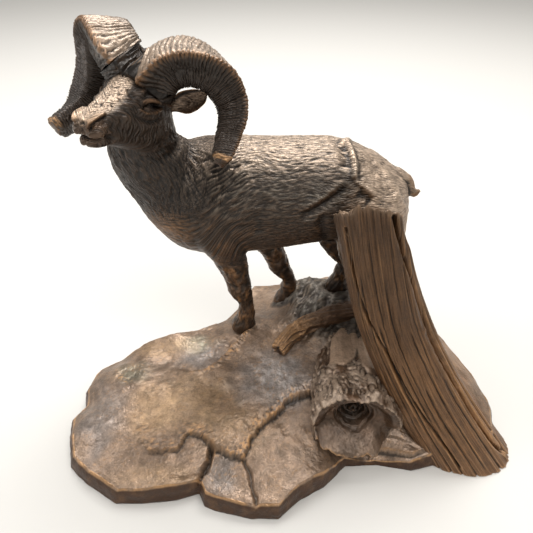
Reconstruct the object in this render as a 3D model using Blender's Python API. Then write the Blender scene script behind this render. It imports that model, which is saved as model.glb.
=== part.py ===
"""Ram figurine: a bighorn ram on a rock, beside a leaning weathered trunk, cast in one piece.

Metres, +Z up. The origin is on the flat underside, near the middle of the rock. The ram faces -X,
with its head turned towards -Y, and the trunk stands in front of its near hind leg.
"""

import math

import bpy
import numpy as np
from mathutils import Vector

MM = 0.001

# Rock
ROCK_LENGTH = 284 * MM
ROCK_WIDTH = 197 * MM
ROCK_RIM = 14 * MM  # height of the front edge
ROCK_SHOULDER = 0.965  # the rim's size against the outline on the floor
SHELF_HEIGHT = 20 * MM  # low shelf on the left
PLATEAU_HEIGHT = 27 * MM  # broad worn top in front of the ram
HOOF_ROCK_HEIGHT = 37 * MM  # ground under the front hooves
SUMMIT_HEIGHT = 47 * MM  # ground under the hind hooves
REAR_HEIGHT = 26 * MM  # ground behind and to the right of the ram

# Ram
RAM_Y = 50 * MM  # the ram's middle plane
BODY_CENTRE_HEIGHT = 138 * MM
BODY_HALF_DEPTH = 36 * MM
BODY_HALF_WIDTH = 28 * MM
CHEST_X = -92 * MM
RUMP_X = 77 * MM
LEG_SPREAD = 15 * MM  # from the middle plane to each leg
FORELEG_X = -25 * MM
FORELEG_STRIDE = 31 * MM  # the far foreleg stands this much further back
HINDLEG_X = 59 * MM
HINDLEG_STRIDE = -14 * MM
LEG_RADIUS = 5.8 * MM  # at the cannon bone
HOOF_LENGTH = 16 * MM
HOOF_HEIGHT = 9 * MM

# Head, in its own frame: forward, left and up from the poll
POLL_X = -73.5 * MM
POLL_FORWARD = 16.5 * MM  # from the ram's middle plane towards the front
POLL_HEIGHT = 222.5 * MM
HEAD_TURN = math.radians(65)  # from facing -X towards -Y
HEAD_TILT = math.radians(3)  # the near side is a little lower
HEAD_LENGTH = 50 * MM
HEAD_HALF_WIDTH = 14 * MM
EAR_LENGTH = 18 * MM
EAR_HALF_WIDTH = 5.5 * MM
EAR_THICKNESS = 3.2 * MM
HORN_BASE_WIDTH = 22.5 * MM
HORN_TIP_WIDTH = 9 * MM
# Each side of the horn's section, as its direction in degrees and its distance
HORN_FACES = ((90, 0.77), (-18, 0.80), (200, 0.90), (268, 1.06))
HORN_CRISPNESS = 7  # of the edges between them
NEAR_HORN_TURN = math.radians(18)  # how far the broad face turns forwards over base and top
FAR_HORN_TURN = math.radians(6)

# Trunk
TRUNK_HEIGHT = 145 * MM  # to the middle of its broken end
TRUNK_TOP_PLACE = (47, 11)  # on the rock's plan, as x and y of a rock 284 by 197
TRUNK_FOOT_PLACE = (119, -38)
TRUNK_BOW = 12 * MM  # how far its middle hangs below the straight line
TRUNK_TOP_RADIUS = 20 * MM
TRUNK_FOOT_RADIUS = 29 * MM
TRUNK_END_FALL = (-0.4, -0.74)  # slope of the broken end, to the right and to the back
TRUNK_END_SHARE = 0.35  # of the trunk's length, over which that slope dies out
TRUNK_SLIVER_DROP = 6 * MM  # the right edge of the broken end is lower still
SPLIT_WIDTH = 3.4 * MM  # the long drying crack on its right side
SPLIT_DEPTH = 9 * MM

# Fallen stump, its broken end towards the front
STUMP_FRONT_PLACE = (43, -45)
STUMP_FRONT_HEIGHT = 29 * MM
STUMP_BACK_PLACE = (46, 25)
STUMP_BACK_HEIGHT = 12 * MM
STUMP_RADIUS = 27 * MM
STUMP_BORE_RADIUS = 13 * MM
STUMP_BORE_DEPTH = 10 * MM
STUMP_BORE_RISE = 7 * MM  # the hollow is above the stump's middle

# Dead root over the rock
ROOT_RADIUS = 6 * MM

VOXEL = 1.1 * MM
SMOOTHING = 3
MOST_TRIANGLES = 11600
CUT_DEPTH = 6 * MM  # the pieces run this far below the floor before they are cut flat
FOOTPRINT_MIDDLE = (2.2, 10.5)  # of the same plan
PLAN = (284, 197)  # the plan's own length and width, in its points



ROCK_MIDDLE = (0, 8)  # of the plan
SLACK = 0.0005  # how loosely the ground follows its places
EDGE_WIDTH = 1.4  # half the width of a broken edge, in mm
GROUND_STEP = 4.0  # along the rim, in mm
GROUND_RINGS = 60


def on_plan(x, y, height=0.0):
    """A place given on the rock's plan, at a height."""
    return Vector((x * ROCK_LENGTH / PLAN[0], y * ROCK_WIDTH / PLAN[1], height))


POLL = Vector((POLL_X, RAM_Y - POLL_FORWARD, POLL_HEIGHT))
TRUNK_TOP = on_plan(*TRUNK_TOP_PLACE, TRUNK_HEIGHT)
TRUNK_FOOT = on_plan(*TRUNK_FOOT_PLACE)
STUMP_FRONT = on_plan(*STUMP_FRONT_PLACE, STUMP_FRONT_HEIGHT)
STUMP_BACK = on_plan(*STUMP_BACK_PLACE, STUMP_BACK_HEIGHT)


def section(centre, across, along, half_across, half_along, sides=20, square=2.0):
    """Points round a section: an ellipse at square 2, and boxier above."""
    points = []
    for k in range(sides):
        angle = 2 * math.pi * k / sides
        c, s = math.cos(angle), math.sin(angle)
        u = math.copysign(abs(c) ** (2 / square), c)
        v = math.copysign(abs(s) ** (2 / square), s)
        points.append(centre + across * (half_across * u) + along * (half_along * v))
    return points


def loft(name, rings):
    """A closed solid through rings of the same number of points, with its two ends filled."""
    sides = len(rings[0])
    points = [p for ring in rings for p in ring]
    faces = [list(range(sides))[::-1]]
    for r in range(len(rings) - 1):
        for k in range(sides):
            a, b = r * sides + k, r * sides + (k + 1) % sides
            faces.append([a, b, b + sides, a + sides])
    faces.append([(len(rings) - 1) * sides + k for k in range(sides)])
    mesh = bpy.data.meshes.new(name)
    mesh.from_pydata([tuple(p) for p in points], [], faces)
    mesh.update()
    piece = bpy.data.objects.new(name, mesh)
    bpy.context.scene.collection.objects.link(piece)
    return piece


def smooth_path(points, steps):
    """Points on a smooth curve through the given ones, with equal steps between each two."""
    ends = [points[0] * 2 - points[1], *points, points[-1] * 2 - points[-2]]
    path = []
    for a, b, c, d in zip(ends, ends[1:], ends[2:], ends[3:]):
        for k in range(steps):
            t = k / steps
            path.append(
                0.5 * (2 * b + (c - a) * t + (2 * a - 5 * b + 4 * c - d) * t**2 + (3 * b - a - 3 * c + d) * t**3)
            )
    path.append(points[-1].copy())
    return path


def limb(name, stations, side, steps=3, sides=16, square=2.0):
    """A tapering limb. Each station is (centre, half width along side, half width the other way)."""
    centres = smooth_path([Vector(s[0]) for s in stations], steps)
    widths = smooth_path([Vector((s[1], s[2], 0)) for s in stations], steps)
    rings = []
    for k, (centre, width) in enumerate(zip(centres, widths)):
        tangent = (centres[min(k + 1, len(centres) - 1)] - centres[max(k - 1, 0)]).normalized()
        across = (side - tangent * side.dot(tangent)).normalized()
        rings.append(section(centre, across, across.cross(tangent), width.x, width.y, sides, square))
    return loft(name, rings)


def torso():
    """Chest to rump, in sections across X: x, height of its middle, half width, half depth."""
    length = RUMP_X - CHEST_X
    depth, width, middle = BODY_HALF_DEPTH, BODY_HALF_WIDTH, BODY_CENTRE_HEIGHT
    stations = [
        (0.00, 6, 0.30, 0.32),
        (0.05, 2, 0.56, 0.60),
        (0.14, -3, 0.84, 0.90),
        (0.25, -3, 0.98, 1.05),
        (0.37, -2, 1.00, 1.05),
        (0.49, -1, 1.04, 1.00),
        (0.61, 1, 1.02, 0.95),
        (0.74, 2.5, 0.96, 0.89),
        (0.84, -1, 0.92, 0.80),
        (0.91, -5, 0.86, 0.72),
        (0.97, -8, 0.68, 0.58),
        (1.00, -10, 0.40, 0.36),
    ]
    rings = []
    for share, rise, wide, deep in stations:
        centre = Vector((CHEST_X + share * length, RAM_Y, middle + rise * MM))
        rings.append(section(centre, Vector((0, 1, 0)), Vector((0, 0, 1)), width * wide, depth * deep, 24, 2.2))
    return loft("torso", rings)


def neck():
    """Thick neck from the shoulders up to the back of the head, turning towards the front."""
    stations = [
        (Vector((CHEST_X + 42 * MM, RAM_Y, BODY_CENTRE_HEIGHT - 5 * MM)), 25 * MM, 32 * MM),
        (Vector((CHEST_X + 24 * MM, RAM_Y - 2 * MM, BODY_CENTRE_HEIGHT + 10 * MM)), 22 * MM, 27 * MM),
        (POLL + Vector((-7, 8, -53)) * MM, 19 * MM, 21 * MM),
        (POLL + Vector((-6, 4, -38)) * MM, 16.5 * MM, 18 * MM),
        (POLL + Vector((-3, 1, -26)) * MM, 14 * MM, 15 * MM),
    ]
    return limb("neck", stations, Vector((0, 1, 0)), sides=20)


def head_axes():
    forward = Vector((-math.cos(HEAD_TURN), -math.sin(HEAD_TURN), 0))
    left = Vector((math.sin(HEAD_TURN), -math.cos(HEAD_TURN), 0))
    up = Vector((0, 0, 1))
    left, up = (
        left * math.cos(HEAD_TILT) - up * math.sin(HEAD_TILT),
        up * math.cos(HEAD_TILT) + left * math.sin(HEAD_TILT),
    )
    return forward, left, up


def on_head(forward, left, up):
    """A point given forward, left and up from the poll."""
    f, l, u = head_axes()
    return POLL + f * forward + l * left + u * up


def head():
    """Skull and muzzle: share of the head's length, top and bottom below the poll, half width."""
    stations = [
        (-0.22, -12, -38, 0.60),
        (-0.06, -4, -48, 0.90),
        (0.12, -2, -47, 1.00),
        (0.30, -4, -43, 1.02),
        (0.48, -7, -38.5, 0.84),
        (0.66, -10, -33, 0.66),
        (0.82, -12.5, -30.5, 0.58),
        (0.93, -14.5, -29, 0.56),
        (1.00, -17.5, -25, 0.36),
    ]
    _, left, up = head_axes()
    rings = []
    for share, top, bottom, wide in stations:
        centre = on_head(share * HEAD_LENGTH, 0, (top + bottom) / 2 * MM)
        rings.append(section(centre, up, left, (top - bottom) / 2 * MM, HEAD_HALF_WIDTH * wide, 20, 2.3))
    return loft("head", rings)


def brow(side):
    """The bony rim over one eye."""
    _, left, up = head_axes()
    reach = HEAD_HALF_WIDTH * side
    stations = [
        (on_head(2 * MM, reach * 0.72, -15 * MM), 3 * MM, 3 * MM),
        (on_head(9 * MM, reach * 0.98, -16 * MM), 4 * MM, 3.4 * MM),
        (on_head(16 * MM, reach * 0.94, -18.5 * MM), 3.6 * MM, 3 * MM),
        (on_head(22 * MM, reach * 0.66, -20 * MM), 2 * MM, 2 * MM),
    ]
    return limb("brow", stations, up, sides=10)


def ear(side):
    """A leaf-shaped ear, standing out to the side under the horn."""
    _, left, up = head_axes()
    root = on_head(-7 * MM, 9 * MM * side, -22 * MM)
    tip = on_head(-11 * MM, (12 * MM + EAR_LENGTH) * side, -19 * MM)
    reach = tip - root
    half, thick = EAR_HALF_WIDTH, EAR_THICKNESS / 2
    stations = [
        (root, half * 0.55, thick * 1.5),
        (root + reach * 0.3, half * 0.85, thick * 1.2),
        (root + reach * 0.6, half, thick),
        (root + reach * 0.85, half * 0.75, thick),
        (tip, half * 0.3, thick * 0.7),
    ]
    return limb("ear", stations, up, sides=12)


def horn_path(side):
    """The horn's middle line: up and back from the poll, outwards, down, and forward to its tip."""
    near = [
        (4.5, 12, -3.5), (0.5, 19, 2), (-5, 28, 2.5), (-10.5, 37, -3),
        (-14, 43, -14.5), (-11.5, 46, -24), (-4.5, 47, -31.5), (10, 50.5, -38.5),
    ]  # fmt: skip
    far = [
        (3.5, 12, 0.5), (0.5, 19, 5.5), (-5, 27, 7), (-8.5, 35, 1),
        (-10, 40.5, -14.5), (-6.5, 44, -25), (2, 46, -34), (18, 50.5, -40),
    ]  # fmt: skip
    rows = near if side > 0 else far
    rows = [(-1, 4, -13), *rows]
    return smooth_path([on_head(f * MM, l * MM * side, u * MM) for f, l, u in rows], 5)


def horn_reach(angle):
    """The horn's rounded three-sided section at an angle, as a share of its half width."""
    total = 0.0
    for direction, distance in HORN_FACES:
        facing = math.cos(angle - math.radians(direction)) / distance
        total += max(0.0, facing) ** HORN_CRISPNESS
    return total ** (-1 / HORN_CRISPNESS)


def horn(side):
    """A tapering horn: a broad outer face, a flat outward side, and the keel between them."""
    _, left, _ = head_axes()
    path = horn_path(side)
    middle = on_head(0, 32 * MM * side, -20 * MM)
    most_turn = NEAR_HORN_TURN if side > 0 else FAR_HORN_TURN
    sides = 24
    rings = []
    for k, centre in enumerate(path):
        share = k / (len(path) - 1)
        turn = most_turn * min(1.0, max(0.0, (0.62 - share) / 0.32))
        tangent = (path[min(k + 1, len(path) - 1)] - path[max(k - 1, 0)]).normalized()
        outward = centre - middle
        outward = (outward - tangent * outward.dot(tangent)).normalized()
        across = tangent.cross(outward)
        across *= math.copysign(1, across.dot(left) * side)
        flat_side = across * math.cos(turn) - outward * math.sin(turn)
        broad_side = outward * math.cos(turn) + across * math.sin(turn)
        taper = max(0.0, share - 0.3) / 0.7
        half = 0.5 * (HORN_BASE_WIDTH + (HORN_TIP_WIDTH - HORN_BASE_WIDTH) * taper**1.15)
        ring = []
        for j in range(sides):
            angle = 2 * math.pi * j / sides
            reach = half * horn_reach(angle)
            spot = flat_side * math.cos(angle) + broad_side * math.sin(angle)
            ring.append(centre + spot * reach)
        rings.append(ring)
    name = "near_horn" if side > 0 else "far_horn"
    return loft(name, rings)


def leg(name, stations, ground, toe):
    """A leg down to its hoof. Stations are (x, y, z, half width across, half width along the body)."""
    x, y = toe
    hoof_top = ground + HOOF_HEIGHT
    rows = [(Vector((a, b, c)), w, l) for a, b, c, w, l in stations]
    rows += [
        (Vector((x, y, hoof_top + 5 * MM)), LEG_RADIUS, LEG_RADIUS),
        (Vector((x - 1 * MM, y, hoof_top)), LEG_RADIUS * 1.1, HOOF_LENGTH * 0.42),
        (Vector((x - 2 * MM, y, ground)), LEG_RADIUS * 1.25, HOOF_LENGTH * 0.5),
        (Vector((x - 2 * MM, y, ground - 3 * MM)), LEG_RADIUS * 1.25, HOOF_LENGTH * 0.5),
    ]
    return limb(name, rows, Vector((0, 1, 0)), steps=3, sides=14)


def foreleg(side, x, ground):
    """side is -1 for the near leg, and the far one starts a little further back."""
    y = RAM_Y + side * LEG_SPREAD
    top = BODY_CENTRE_HEIGHT
    start = CHEST_X + (52 + 5 * side) * MM
    drop = top - 38 * MM - ground
    stations = [
        (start, y, top + 12 * MM, 4 * MM, 7 * MM),
        (start, y, top + 7 * MM, 9 * MM, 16 * MM),
        (start, y, top - 5 * MM, 13.5 * MM, 21 * MM),
        (start + (x - start) * 0.3, y, top - 24 * MM, 12.5 * MM, 17 * MM),
        (start + (x - start) * 0.45, y, top - 36 * MM, 9.5 * MM, 12 * MM),
        (start + (x - start) * 0.7, y, ground + drop * 0.72, 7.2 * MM, 8.6 * MM),
        (start + (x - start) * 0.85, y, ground + drop * 0.5, 6.8 * MM, 6.8 * MM),
        (start + (x - start) * 0.96, y, ground + drop * 0.36, LEG_RADIUS, LEG_RADIUS),
    ]
    return leg("foreleg", stations, ground, (x, y))


def hindleg(side, x, ground):
    y = RAM_Y + side * LEG_SPREAD
    top = BODY_CENTRE_HEIGHT
    drop = top - 40 * MM - ground
    stations = [
        (RUMP_X - 26 * MM, y, top + 14 * MM, 4 * MM, 8 * MM),
        (RUMP_X - 26 * MM, y, top + 9 * MM, 9 * MM, 17 * MM),
        (RUMP_X - 25 * MM, y, top - 3 * MM, 13.5 * MM, 22 * MM),
        (x - 5 * MM, y, top - 24 * MM, 12.5 * MM, 22 * MM),
        (x - 7 * MM, y, top - 38 * MM, 10 * MM, 16 * MM),
        (x - 3 * MM, y, ground + drop * 0.76, 8 * MM, 11.5 * MM),
        (x + 4 * MM, y, ground + drop * 0.52, 7 * MM, 8.5 * MM),
        (x + 3 * MM, y, ground + drop * 0.34, LEG_RADIUS, LEG_RADIUS * 1.05),
    ]
    return leg("hindleg", stations, ground, (x, y))


def tail():
    """A short tail lying down the rump, its tip lifted."""
    start = Vector((RUMP_X - 9 * MM, RAM_Y, BODY_CENTRE_HEIGHT + 14 * MM))
    stations = [
        (start, 5 * MM, 4 * MM),
        (start + Vector((8, -1, -4)) * MM, 4 * MM, 3.4 * MM),
        (start + Vector((12, -2, -13)) * MM, 3.4 * MM, 2.8 * MM),
        (start + Vector((18, -3, -16)) * MM, 2 * MM, 1.8 * MM),
    ]
    return limb("tail", stations, Vector((0, 1, 0)), sides=10)


def rock_outline():
    """The footprint. Each point is x, y and how far its rim stands above or below the front edge, in mm."""
    return [
        (-140, -39, -2), (-135, -56, -2), (-122, -67, -1), (-101, -79, -2), (-86, -79, -1),
        (-65, -77, 1), (-52, -73, 1), (-48, -81, 0), (-35, -85, -1), (-20, -88, -1),
        (-4, -88, 1), (9, -77, 1), (24, -69, 1), (39, -55, -7), (59, -54, -7),
        (81, -60, -3), (98, -58, -2), (120, -58, 0), (139, -46, 2), (142, -22, 3),
        (139, 2, 3), (132, 17, 6), (124, 33, 10), (108, 60, 12), (83, 89, 12),
        (51, 109, 12), (34, 106, 12), (4, 98, 12), (-22, 96, 11), (-35, 65, 11),
        (-44, 54, 11), (-67, 42, 11), (-83, 37, 11), (-103, 34, 6), (-122, 21, 0),
        (-135, 13, -1), (-140, -4, -2), (-136, -18, -3), (-142, -29, -2),
    ]  # fmt: skip


def worn_places():
    """Places on the worn top: x, y and height, in mm. Each group is measured from its own named height."""
    groups = [
        (SHELF_HEIGHT, [(-128, -35, -3), (-125, -8, -1), (-115, 8, 1), (-104, 20, 1.5), (-85, 28, 3)]),
        (PLATEAU_HEIGHT, [
            (-70, 10, -3), (-88, -5, -3), (-90, -30, -2.5), (-75, -45, -2), (-60, -30, -1), (-48, -38, -1),
            (-40, -20, 0), (-33, -50, -2), (-20, -35, 0.5), (-5, -20, 3), (10, -14, 5.5), (20, -10, 7),
            (-50, -5, 2), (25, -40, -3), (10, -50, -4), (60, -20, 5), (40, 0, 11),
        ]),
        (HOOF_ROCK_HEIGHT, [
            (-40, 8, -4.5), (-30, 20, -0.5), (-20, 8, -5), (-5, 0, -5), (8, 0, -3), (-27, 31, 0.5),
            (-10, 45, 0), (0, 25, 1.5), (15, 25, 4), (30, 20, 6), (3, 62, -1), (-25, 55, -7),
        ]),
        (SUMMIT_HEIGHT, [
            (42, 30, -1), (20, 62, 2), (40, 58, 2), (60, 50, 1), (84, 44, -5), (48, 78, -3),
            (14, 74, 0), (70, 70, -5), (60, 10, -3), (86, 12, -5),
        ]),
        (REAR_HEIGHT, [
            (-12, 85, -1), (8, 90, -0.5), (33, 97, 0.5), (96, 62, 2), (118, 34, -1), (112, 4, 6),
            (126, -14, -2), (100, -24, 4), (84, -36, -5),
        ]),
    ]  # fmt: skip
    places = [(x, y, height / MM + rise) for height, group in groups for x, y, rise in group]
    for x, y, rise in rock_outline():
        x, y = inward(x, y, ROCK_SHOULDER)
        places.append((x, y, ROCK_RIM / MM + rise))
    return np.array(places)


def inward(x, y, share):
    """A point of the plan, moved towards the rock's middle."""
    middle_x, middle_y = ROCK_MIDDLE
    return middle_x + (x - middle_x) * share, middle_y + (y - middle_y) * share


def thin_plate(places):
    """A smooth surface through the places, as a function from plan points to heights."""
    at = places[:, :2] / PLAN[0]
    count = len(at)

    def pull(distance):
        return distance**2 * np.log(distance + 1e-9)

    matrix = np.zeros((count + 3, count + 3))
    matrix[:count, :count] = pull(np.linalg.norm(at[:, None] - at[None], axis=2)) + np.eye(count) * SLACK
    matrix[:count, count:] = np.column_stack([np.ones(count), at])
    matrix[count:, :count] = matrix[:count, count:].T
    weights = np.linalg.solve(matrix, np.concatenate([places[:, 2], np.zeros(3)]))

    def height(points):
        spots = points / PLAN[0]
        away = np.linalg.norm(spots[:, None] - at[None], axis=2)
        return weights[count] + spots @ weights[count + 1 :] + pull(away) @ weights[:count]

    return height


def smoothstep(low, high, value):
    share = np.clip((value - low) / (high - low), 0, 1)
    return share * share * (3 - 2 * share)


def broken_edge(points, edge, reach):
    """How far the ground has dropped on the right of a broken edge, given as x, y and its drop."""
    nearest = np.full(len(points), 1e9)
    side, drop = np.zeros(len(points)), np.zeros(len(points))
    for start, stop in zip(np.array(edge, float), np.array(edge[1:], float)):
        way = stop[:2] - start[:2]
        share = np.clip((points - start[:2]) @ way / (way @ way), 0, 1)
        off = points - start[:2] - share[:, None] * way
        away = np.linalg.norm(off, axis=1)
        closer = away < nearest
        nearest[closer] = away[closer]
        side[closer] = (away * np.sign(way[0] * off[:, 1] - way[1] * off[:, 0]))[closer]
        drop[closer] = (start[2] + share * (stop[2] - start[2]))[closer]
    return drop * smoothstep(EDGE_WIDTH, -EDGE_WIDTH, side) * np.exp(-np.maximum(-side, 0) / reach)


def ground(points, inner):
    """Heights of the rock's top at plan points, in mm. Inner is 0 at the rim and 1 further in."""
    plateau_edge = [
        (-103, -13, 0.5), (-98, -36, 2), (-91, -48, 3.5), (-81, -57, 4.5), (-66, -55, 5.5), (-59, -45, 5.5),
        (-52, -46, 6), (-44, -54, 6), (-35, -58, 6), (-25, -61, 6), (-20, -50, 6.5), (-14, -41, 7),
        (-7, -35, 7), (2, -26, 8), (11, -21, 9), (20, -22, 7), (27, -25, 2),
    ]  # fmt: skip
    bowl_edge = [
        (-22, 34, 1), (-28, 27, 5), (-33, 19, 9), (-40, 12, 9), (-46, 5, 7), (-54, 0, 4), (-64, 1, 2), (-74, 5, 0),
    ]  # fmt: skip
    height = thin_plate(worn_places())(points)
    height -= broken_edge(points, plateau_edge, 70) * (0.25 + 0.75 * inner)
    height -= broken_edge(points, bowl_edge, 15)
    pit_middle = np.array((-107, 1))
    pit_depth = 4.5
    height -= pit_depth * smoothstep(8, 2.5, np.linalg.norm(points - pit_middle, axis=1))
    return height


def rock():
    """The whole base: a low chipped wall, and the worn ground on top of it."""
    outline = rock_outline() + rock_outline()[:1]
    corners = []
    for first, second in zip(outline, outline[1:]):
        steps = max(1, round(math.dist(first[:2], second[:2]) / GROUND_STEP))
        corners += [[a + (b - a) * k / steps for a, b in zip(first, second)] for k in range(steps)]
    corners = np.array(corners)
    rings = []
    for scale, height in ((1.0, None), (1.0, 0.0), (0.99, 0.6)):
        rim = ROCK_RIM / MM + corners[:, 2]
        heights = np.full(len(corners), -CUT_DEPTH / MM) if height is None else rim * height
        rings.append((scale, heights))
    middle = np.array(ROCK_MIDDLE)
    for scale in np.linspace(ROCK_SHOULDER, 0.02, GROUND_RINGS):
        inner = smoothstep(ROCK_SHOULDER, 0.87, np.full(len(corners), scale))
        rings.append((scale, ground(middle + (corners[:, :2] - middle) * scale, inner)))
    lofted = []
    for scale, heights in rings:
        flat = middle + (corners[:, :2] - middle) * scale
        lofted.append([on_plan(x, y, z * MM) for (x, y), z in zip(flat, heights)])
    return loft("rock", lofted)


def trunk():
    """The leaning trunk: a bowed line from top to foot, with a long split on its right side."""
    line = TRUNK_FOOT - TRUNK_TOP
    hang = Vector((-0.9, 0.1, -0.45))
    side = Vector((1, 0.25, 0)).normalized()
    levels = 24
    rings = []
    for k in range(levels + 1):
        share = k / levels * 1.06
        centre = TRUNK_TOP + line * share + hang * (TRUNK_BOW * math.sin(math.pi * min(1.0, share)))
        centre.z = TRUNK_TOP.z + line.z * share
        radius = TRUNK_TOP_RADIUS + (TRUNK_FOOT_RADIUS - TRUNK_TOP_RADIUS) * share**1.5
        back = Vector((0, 0, 1)).cross(side)
        ring = []
        for j in range(28):
            angle = 2 * math.pi * j / 28
            reach = radius * (1 - 0.06 * math.cos(3 * angle))
            apart = abs(math.atan2(math.sin(angle + 0.62), math.cos(angle + 0.62))) * radius
            if apart < SPLIT_WIDTH:
                reach -= SPLIT_DEPTH * (1 - apart / SPLIT_WIDTH)
            across, deep = reach * math.cos(angle), reach * 0.84 * math.sin(angle)
            ragged = 2.5 * MM * math.sin(5 * angle) if k == 0 else 0.0
            fall = across * TRUNK_END_FALL[0] + deep * TRUNK_END_FALL[1]
            lift = ragged + fall * max(0.0, 1 - share / TRUNK_END_SHARE)
            if across > 0.68 * radius:
                lift -= TRUNK_SLIVER_DROP * max(0.0, 1 - share * 10)
            ring.append(centre + side * across + back * deep + Vector((0, 0, lift)))
        rings.append(ring)
    return loft("trunk", rings)


def stump():
    """The fallen stump, with the hollow of its broken end."""
    along = (STUMP_BACK - STUMP_FRONT).normalized()
    across = along.cross(Vector((0, 0, 1))).normalized()
    up = across.cross(along)
    length = (STUMP_BACK - STUMP_FRONT).length
    bore = STUMP_BORE_RADIUS
    profile = [
        (STUMP_BORE_DEPTH, bore * 0.3, 1),
        (STUMP_BORE_DEPTH * 0.9, bore * 0.75, 1),
        (STUMP_BORE_DEPTH * 0.2, bore, 1),
        (0, STUMP_RADIUS * 0.82, 0.3),
        (1.5 * MM, STUMP_RADIUS * 0.97, 0),
        (length * 0.25, STUMP_RADIUS * 0.96, 0),
        (length * 0.6, STUMP_RADIUS * 0.88, 0),
        (length, STUMP_RADIUS * 0.7, 0),
    ]
    rings = []
    for reach, radius, raised in profile:
        ring = []
        for j in range(24):
            angle = 2 * math.pi * j / 24
            uneven = 1 + 0.05 * math.sin(3 * angle + 0.6) + 0.03 * math.sin(7 * angle)
            spot = across * math.cos(angle) + up * math.sin(angle)
            ring.append(STUMP_FRONT + along * reach + spot * (radius * uneven) + up * (STUMP_BORE_RISE * raised))
        rings.append(ring)
    return loft("stump", rings)


def root():
    """A dead root lying over the rock, from under the trunk."""
    height = HOOF_ROCK_HEIGHT
    thick = ROOT_RADIUS
    stations = [
        (on_plan(-3, 8, height + 2 * MM), thick * 0.75, thick * 0.8),
        (on_plan(4, 16.5, height + 5 * MM), thick * 0.9, thick * 0.9),
        (on_plan(17, 26.5, height + 8 * MM), thick, thick * 0.95),
        (on_plan(37, 33, height + 11.5 * MM), thick * 1.1, thick * 1.1),
        (on_plan(60, 38, height + 12 * MM), thick * 1.2, thick * 1.2),
    ]
    return limb("root", stations, Vector((0, 0, 1)), sides=10)


def join(pieces, name):
    """All the pieces as one mesh of overlapping closed solids."""
    for piece in bpy.context.scene.objects:
        piece.select_set(piece in pieces)
    bpy.context.view_layer.objects.active = pieces[0]
    bpy.ops.object.join()
    pieces[0].name = name
    return pieces[0]


def floor_cutter():
    """Everything below the floor, to leave the underside flat."""
    bpy.ops.mesh.primitive_cube_add(size=1, location=(0, 0, -0.05))
    cutter = bpy.context.object
    cutter.name = "floor_cutter"
    cutter.scale = (0.6, 0.6, 0.1)
    cutter.hide_render = True
    cutter.display_type = "WIRE"
    return cutter


def fuse(figure, cutter):
    """One skin over all the pieces, softened where they meet, thinned, and cut flat at the floor."""
    remesh = figure.modifiers.new("skin", "REMESH")
    remesh.mode = "VOXEL"
    remesh.voxel_size = VOXEL
    soften = figure.modifiers.new("soften", "SMOOTH")
    soften.factor = 0.5
    soften.iterations = SMOOTHING
    bpy.context.view_layer.update()
    graph = bpy.context.evaluated_depsgraph_get()
    quads = len(figure.evaluated_get(graph).data.polygons)
    thin = figure.modifiers.new("thin", "DECIMATE")
    thin.ratio = MOST_TRIANGLES / (2 * quads)
    cut = figure.modifiers.new("flat_underside", "BOOLEAN")
    cut.operation = "DIFFERENCE"
    cut.solver = "EXACT"
    cut.object = cutter


def centre(figure, cutter):
    """Moves the whole figure so that the middle of its footprint is over the origin."""
    middle = on_plan(*FOOTPRINT_MIDDLE)
    for piece in (figure, cutter):
        piece.location -= middle


def bronze(figure):
    material = bpy.data.materials.new("brown_bronze")
    material.use_nodes = True
    shader = material.node_tree.nodes["Principled BSDF"]
    shader.inputs["Base Color"].default_value = (0.10, 0.055, 0.032, 1)
    shader.inputs["Metallic"].default_value = 0.6
    shader.inputs["Roughness"].default_value = 0.45
    figure.data.materials.append(material)


def main():
    for old in list(bpy.data.objects):
        bpy.data.objects.remove(old)
    near, far = -1, 1
    pieces = [torso(), neck(), head(), tail(), rock(), trunk(), stump(), root()]
    pieces += [horn(1), horn(-1), ear(1), ear(-1), brow(1), brow(-1)]
    pieces += [foreleg(near, FORELEG_X, HOOF_ROCK_HEIGHT)]
    pieces += [foreleg(far, FORELEG_X + FORELEG_STRIDE, HOOF_ROCK_HEIGHT - 2 * MM)]
    pieces += [hindleg(near, HINDLEG_X, SUMMIT_HEIGHT)]
    pieces += [hindleg(far, HINDLEG_X + HINDLEG_STRIDE, SUMMIT_HEIGHT + 2 * MM)]
    figure = join(pieces, "ram_figurine")
    cutter = floor_cutter()
    fuse(figure, cutter)
    centre(figure, cutter)
    bronze(figure)


main()
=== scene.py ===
"""The looks of a cast bronze ram figurine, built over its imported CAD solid.

Everything is modelled in millimetres in the plan's frame, and moved to the model's frame when a
mesh is made. The camera's place is known, so a detail can be pinned to the surface under a pixel.
"""

import math

import bpy
import numpy as np
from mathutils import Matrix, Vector
from mathutils.bvhtree import BVHTree


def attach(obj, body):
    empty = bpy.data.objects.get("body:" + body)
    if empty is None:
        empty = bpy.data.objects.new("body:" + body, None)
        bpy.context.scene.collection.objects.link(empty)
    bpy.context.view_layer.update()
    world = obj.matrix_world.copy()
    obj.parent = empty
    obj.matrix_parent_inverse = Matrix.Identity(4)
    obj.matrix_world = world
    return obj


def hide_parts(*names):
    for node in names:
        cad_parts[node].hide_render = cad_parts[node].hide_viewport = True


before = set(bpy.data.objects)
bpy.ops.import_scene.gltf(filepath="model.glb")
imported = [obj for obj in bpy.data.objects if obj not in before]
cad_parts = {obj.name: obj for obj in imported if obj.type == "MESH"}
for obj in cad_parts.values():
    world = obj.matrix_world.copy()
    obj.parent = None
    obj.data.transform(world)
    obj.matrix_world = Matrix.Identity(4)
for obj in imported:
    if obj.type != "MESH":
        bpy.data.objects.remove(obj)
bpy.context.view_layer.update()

MM = 0.001
MIDDLE = np.array([2.2, 10.5, 0.0])  # of the footprint, which is the model's origin

CAMERA = np.array([-11.0, -226.5, 295.0])
PITCH = math.radians(38)
FOCAL = 500.0  # pixels
PICTURE = 533  # pixels across
HALF = PICTURE / 2

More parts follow.
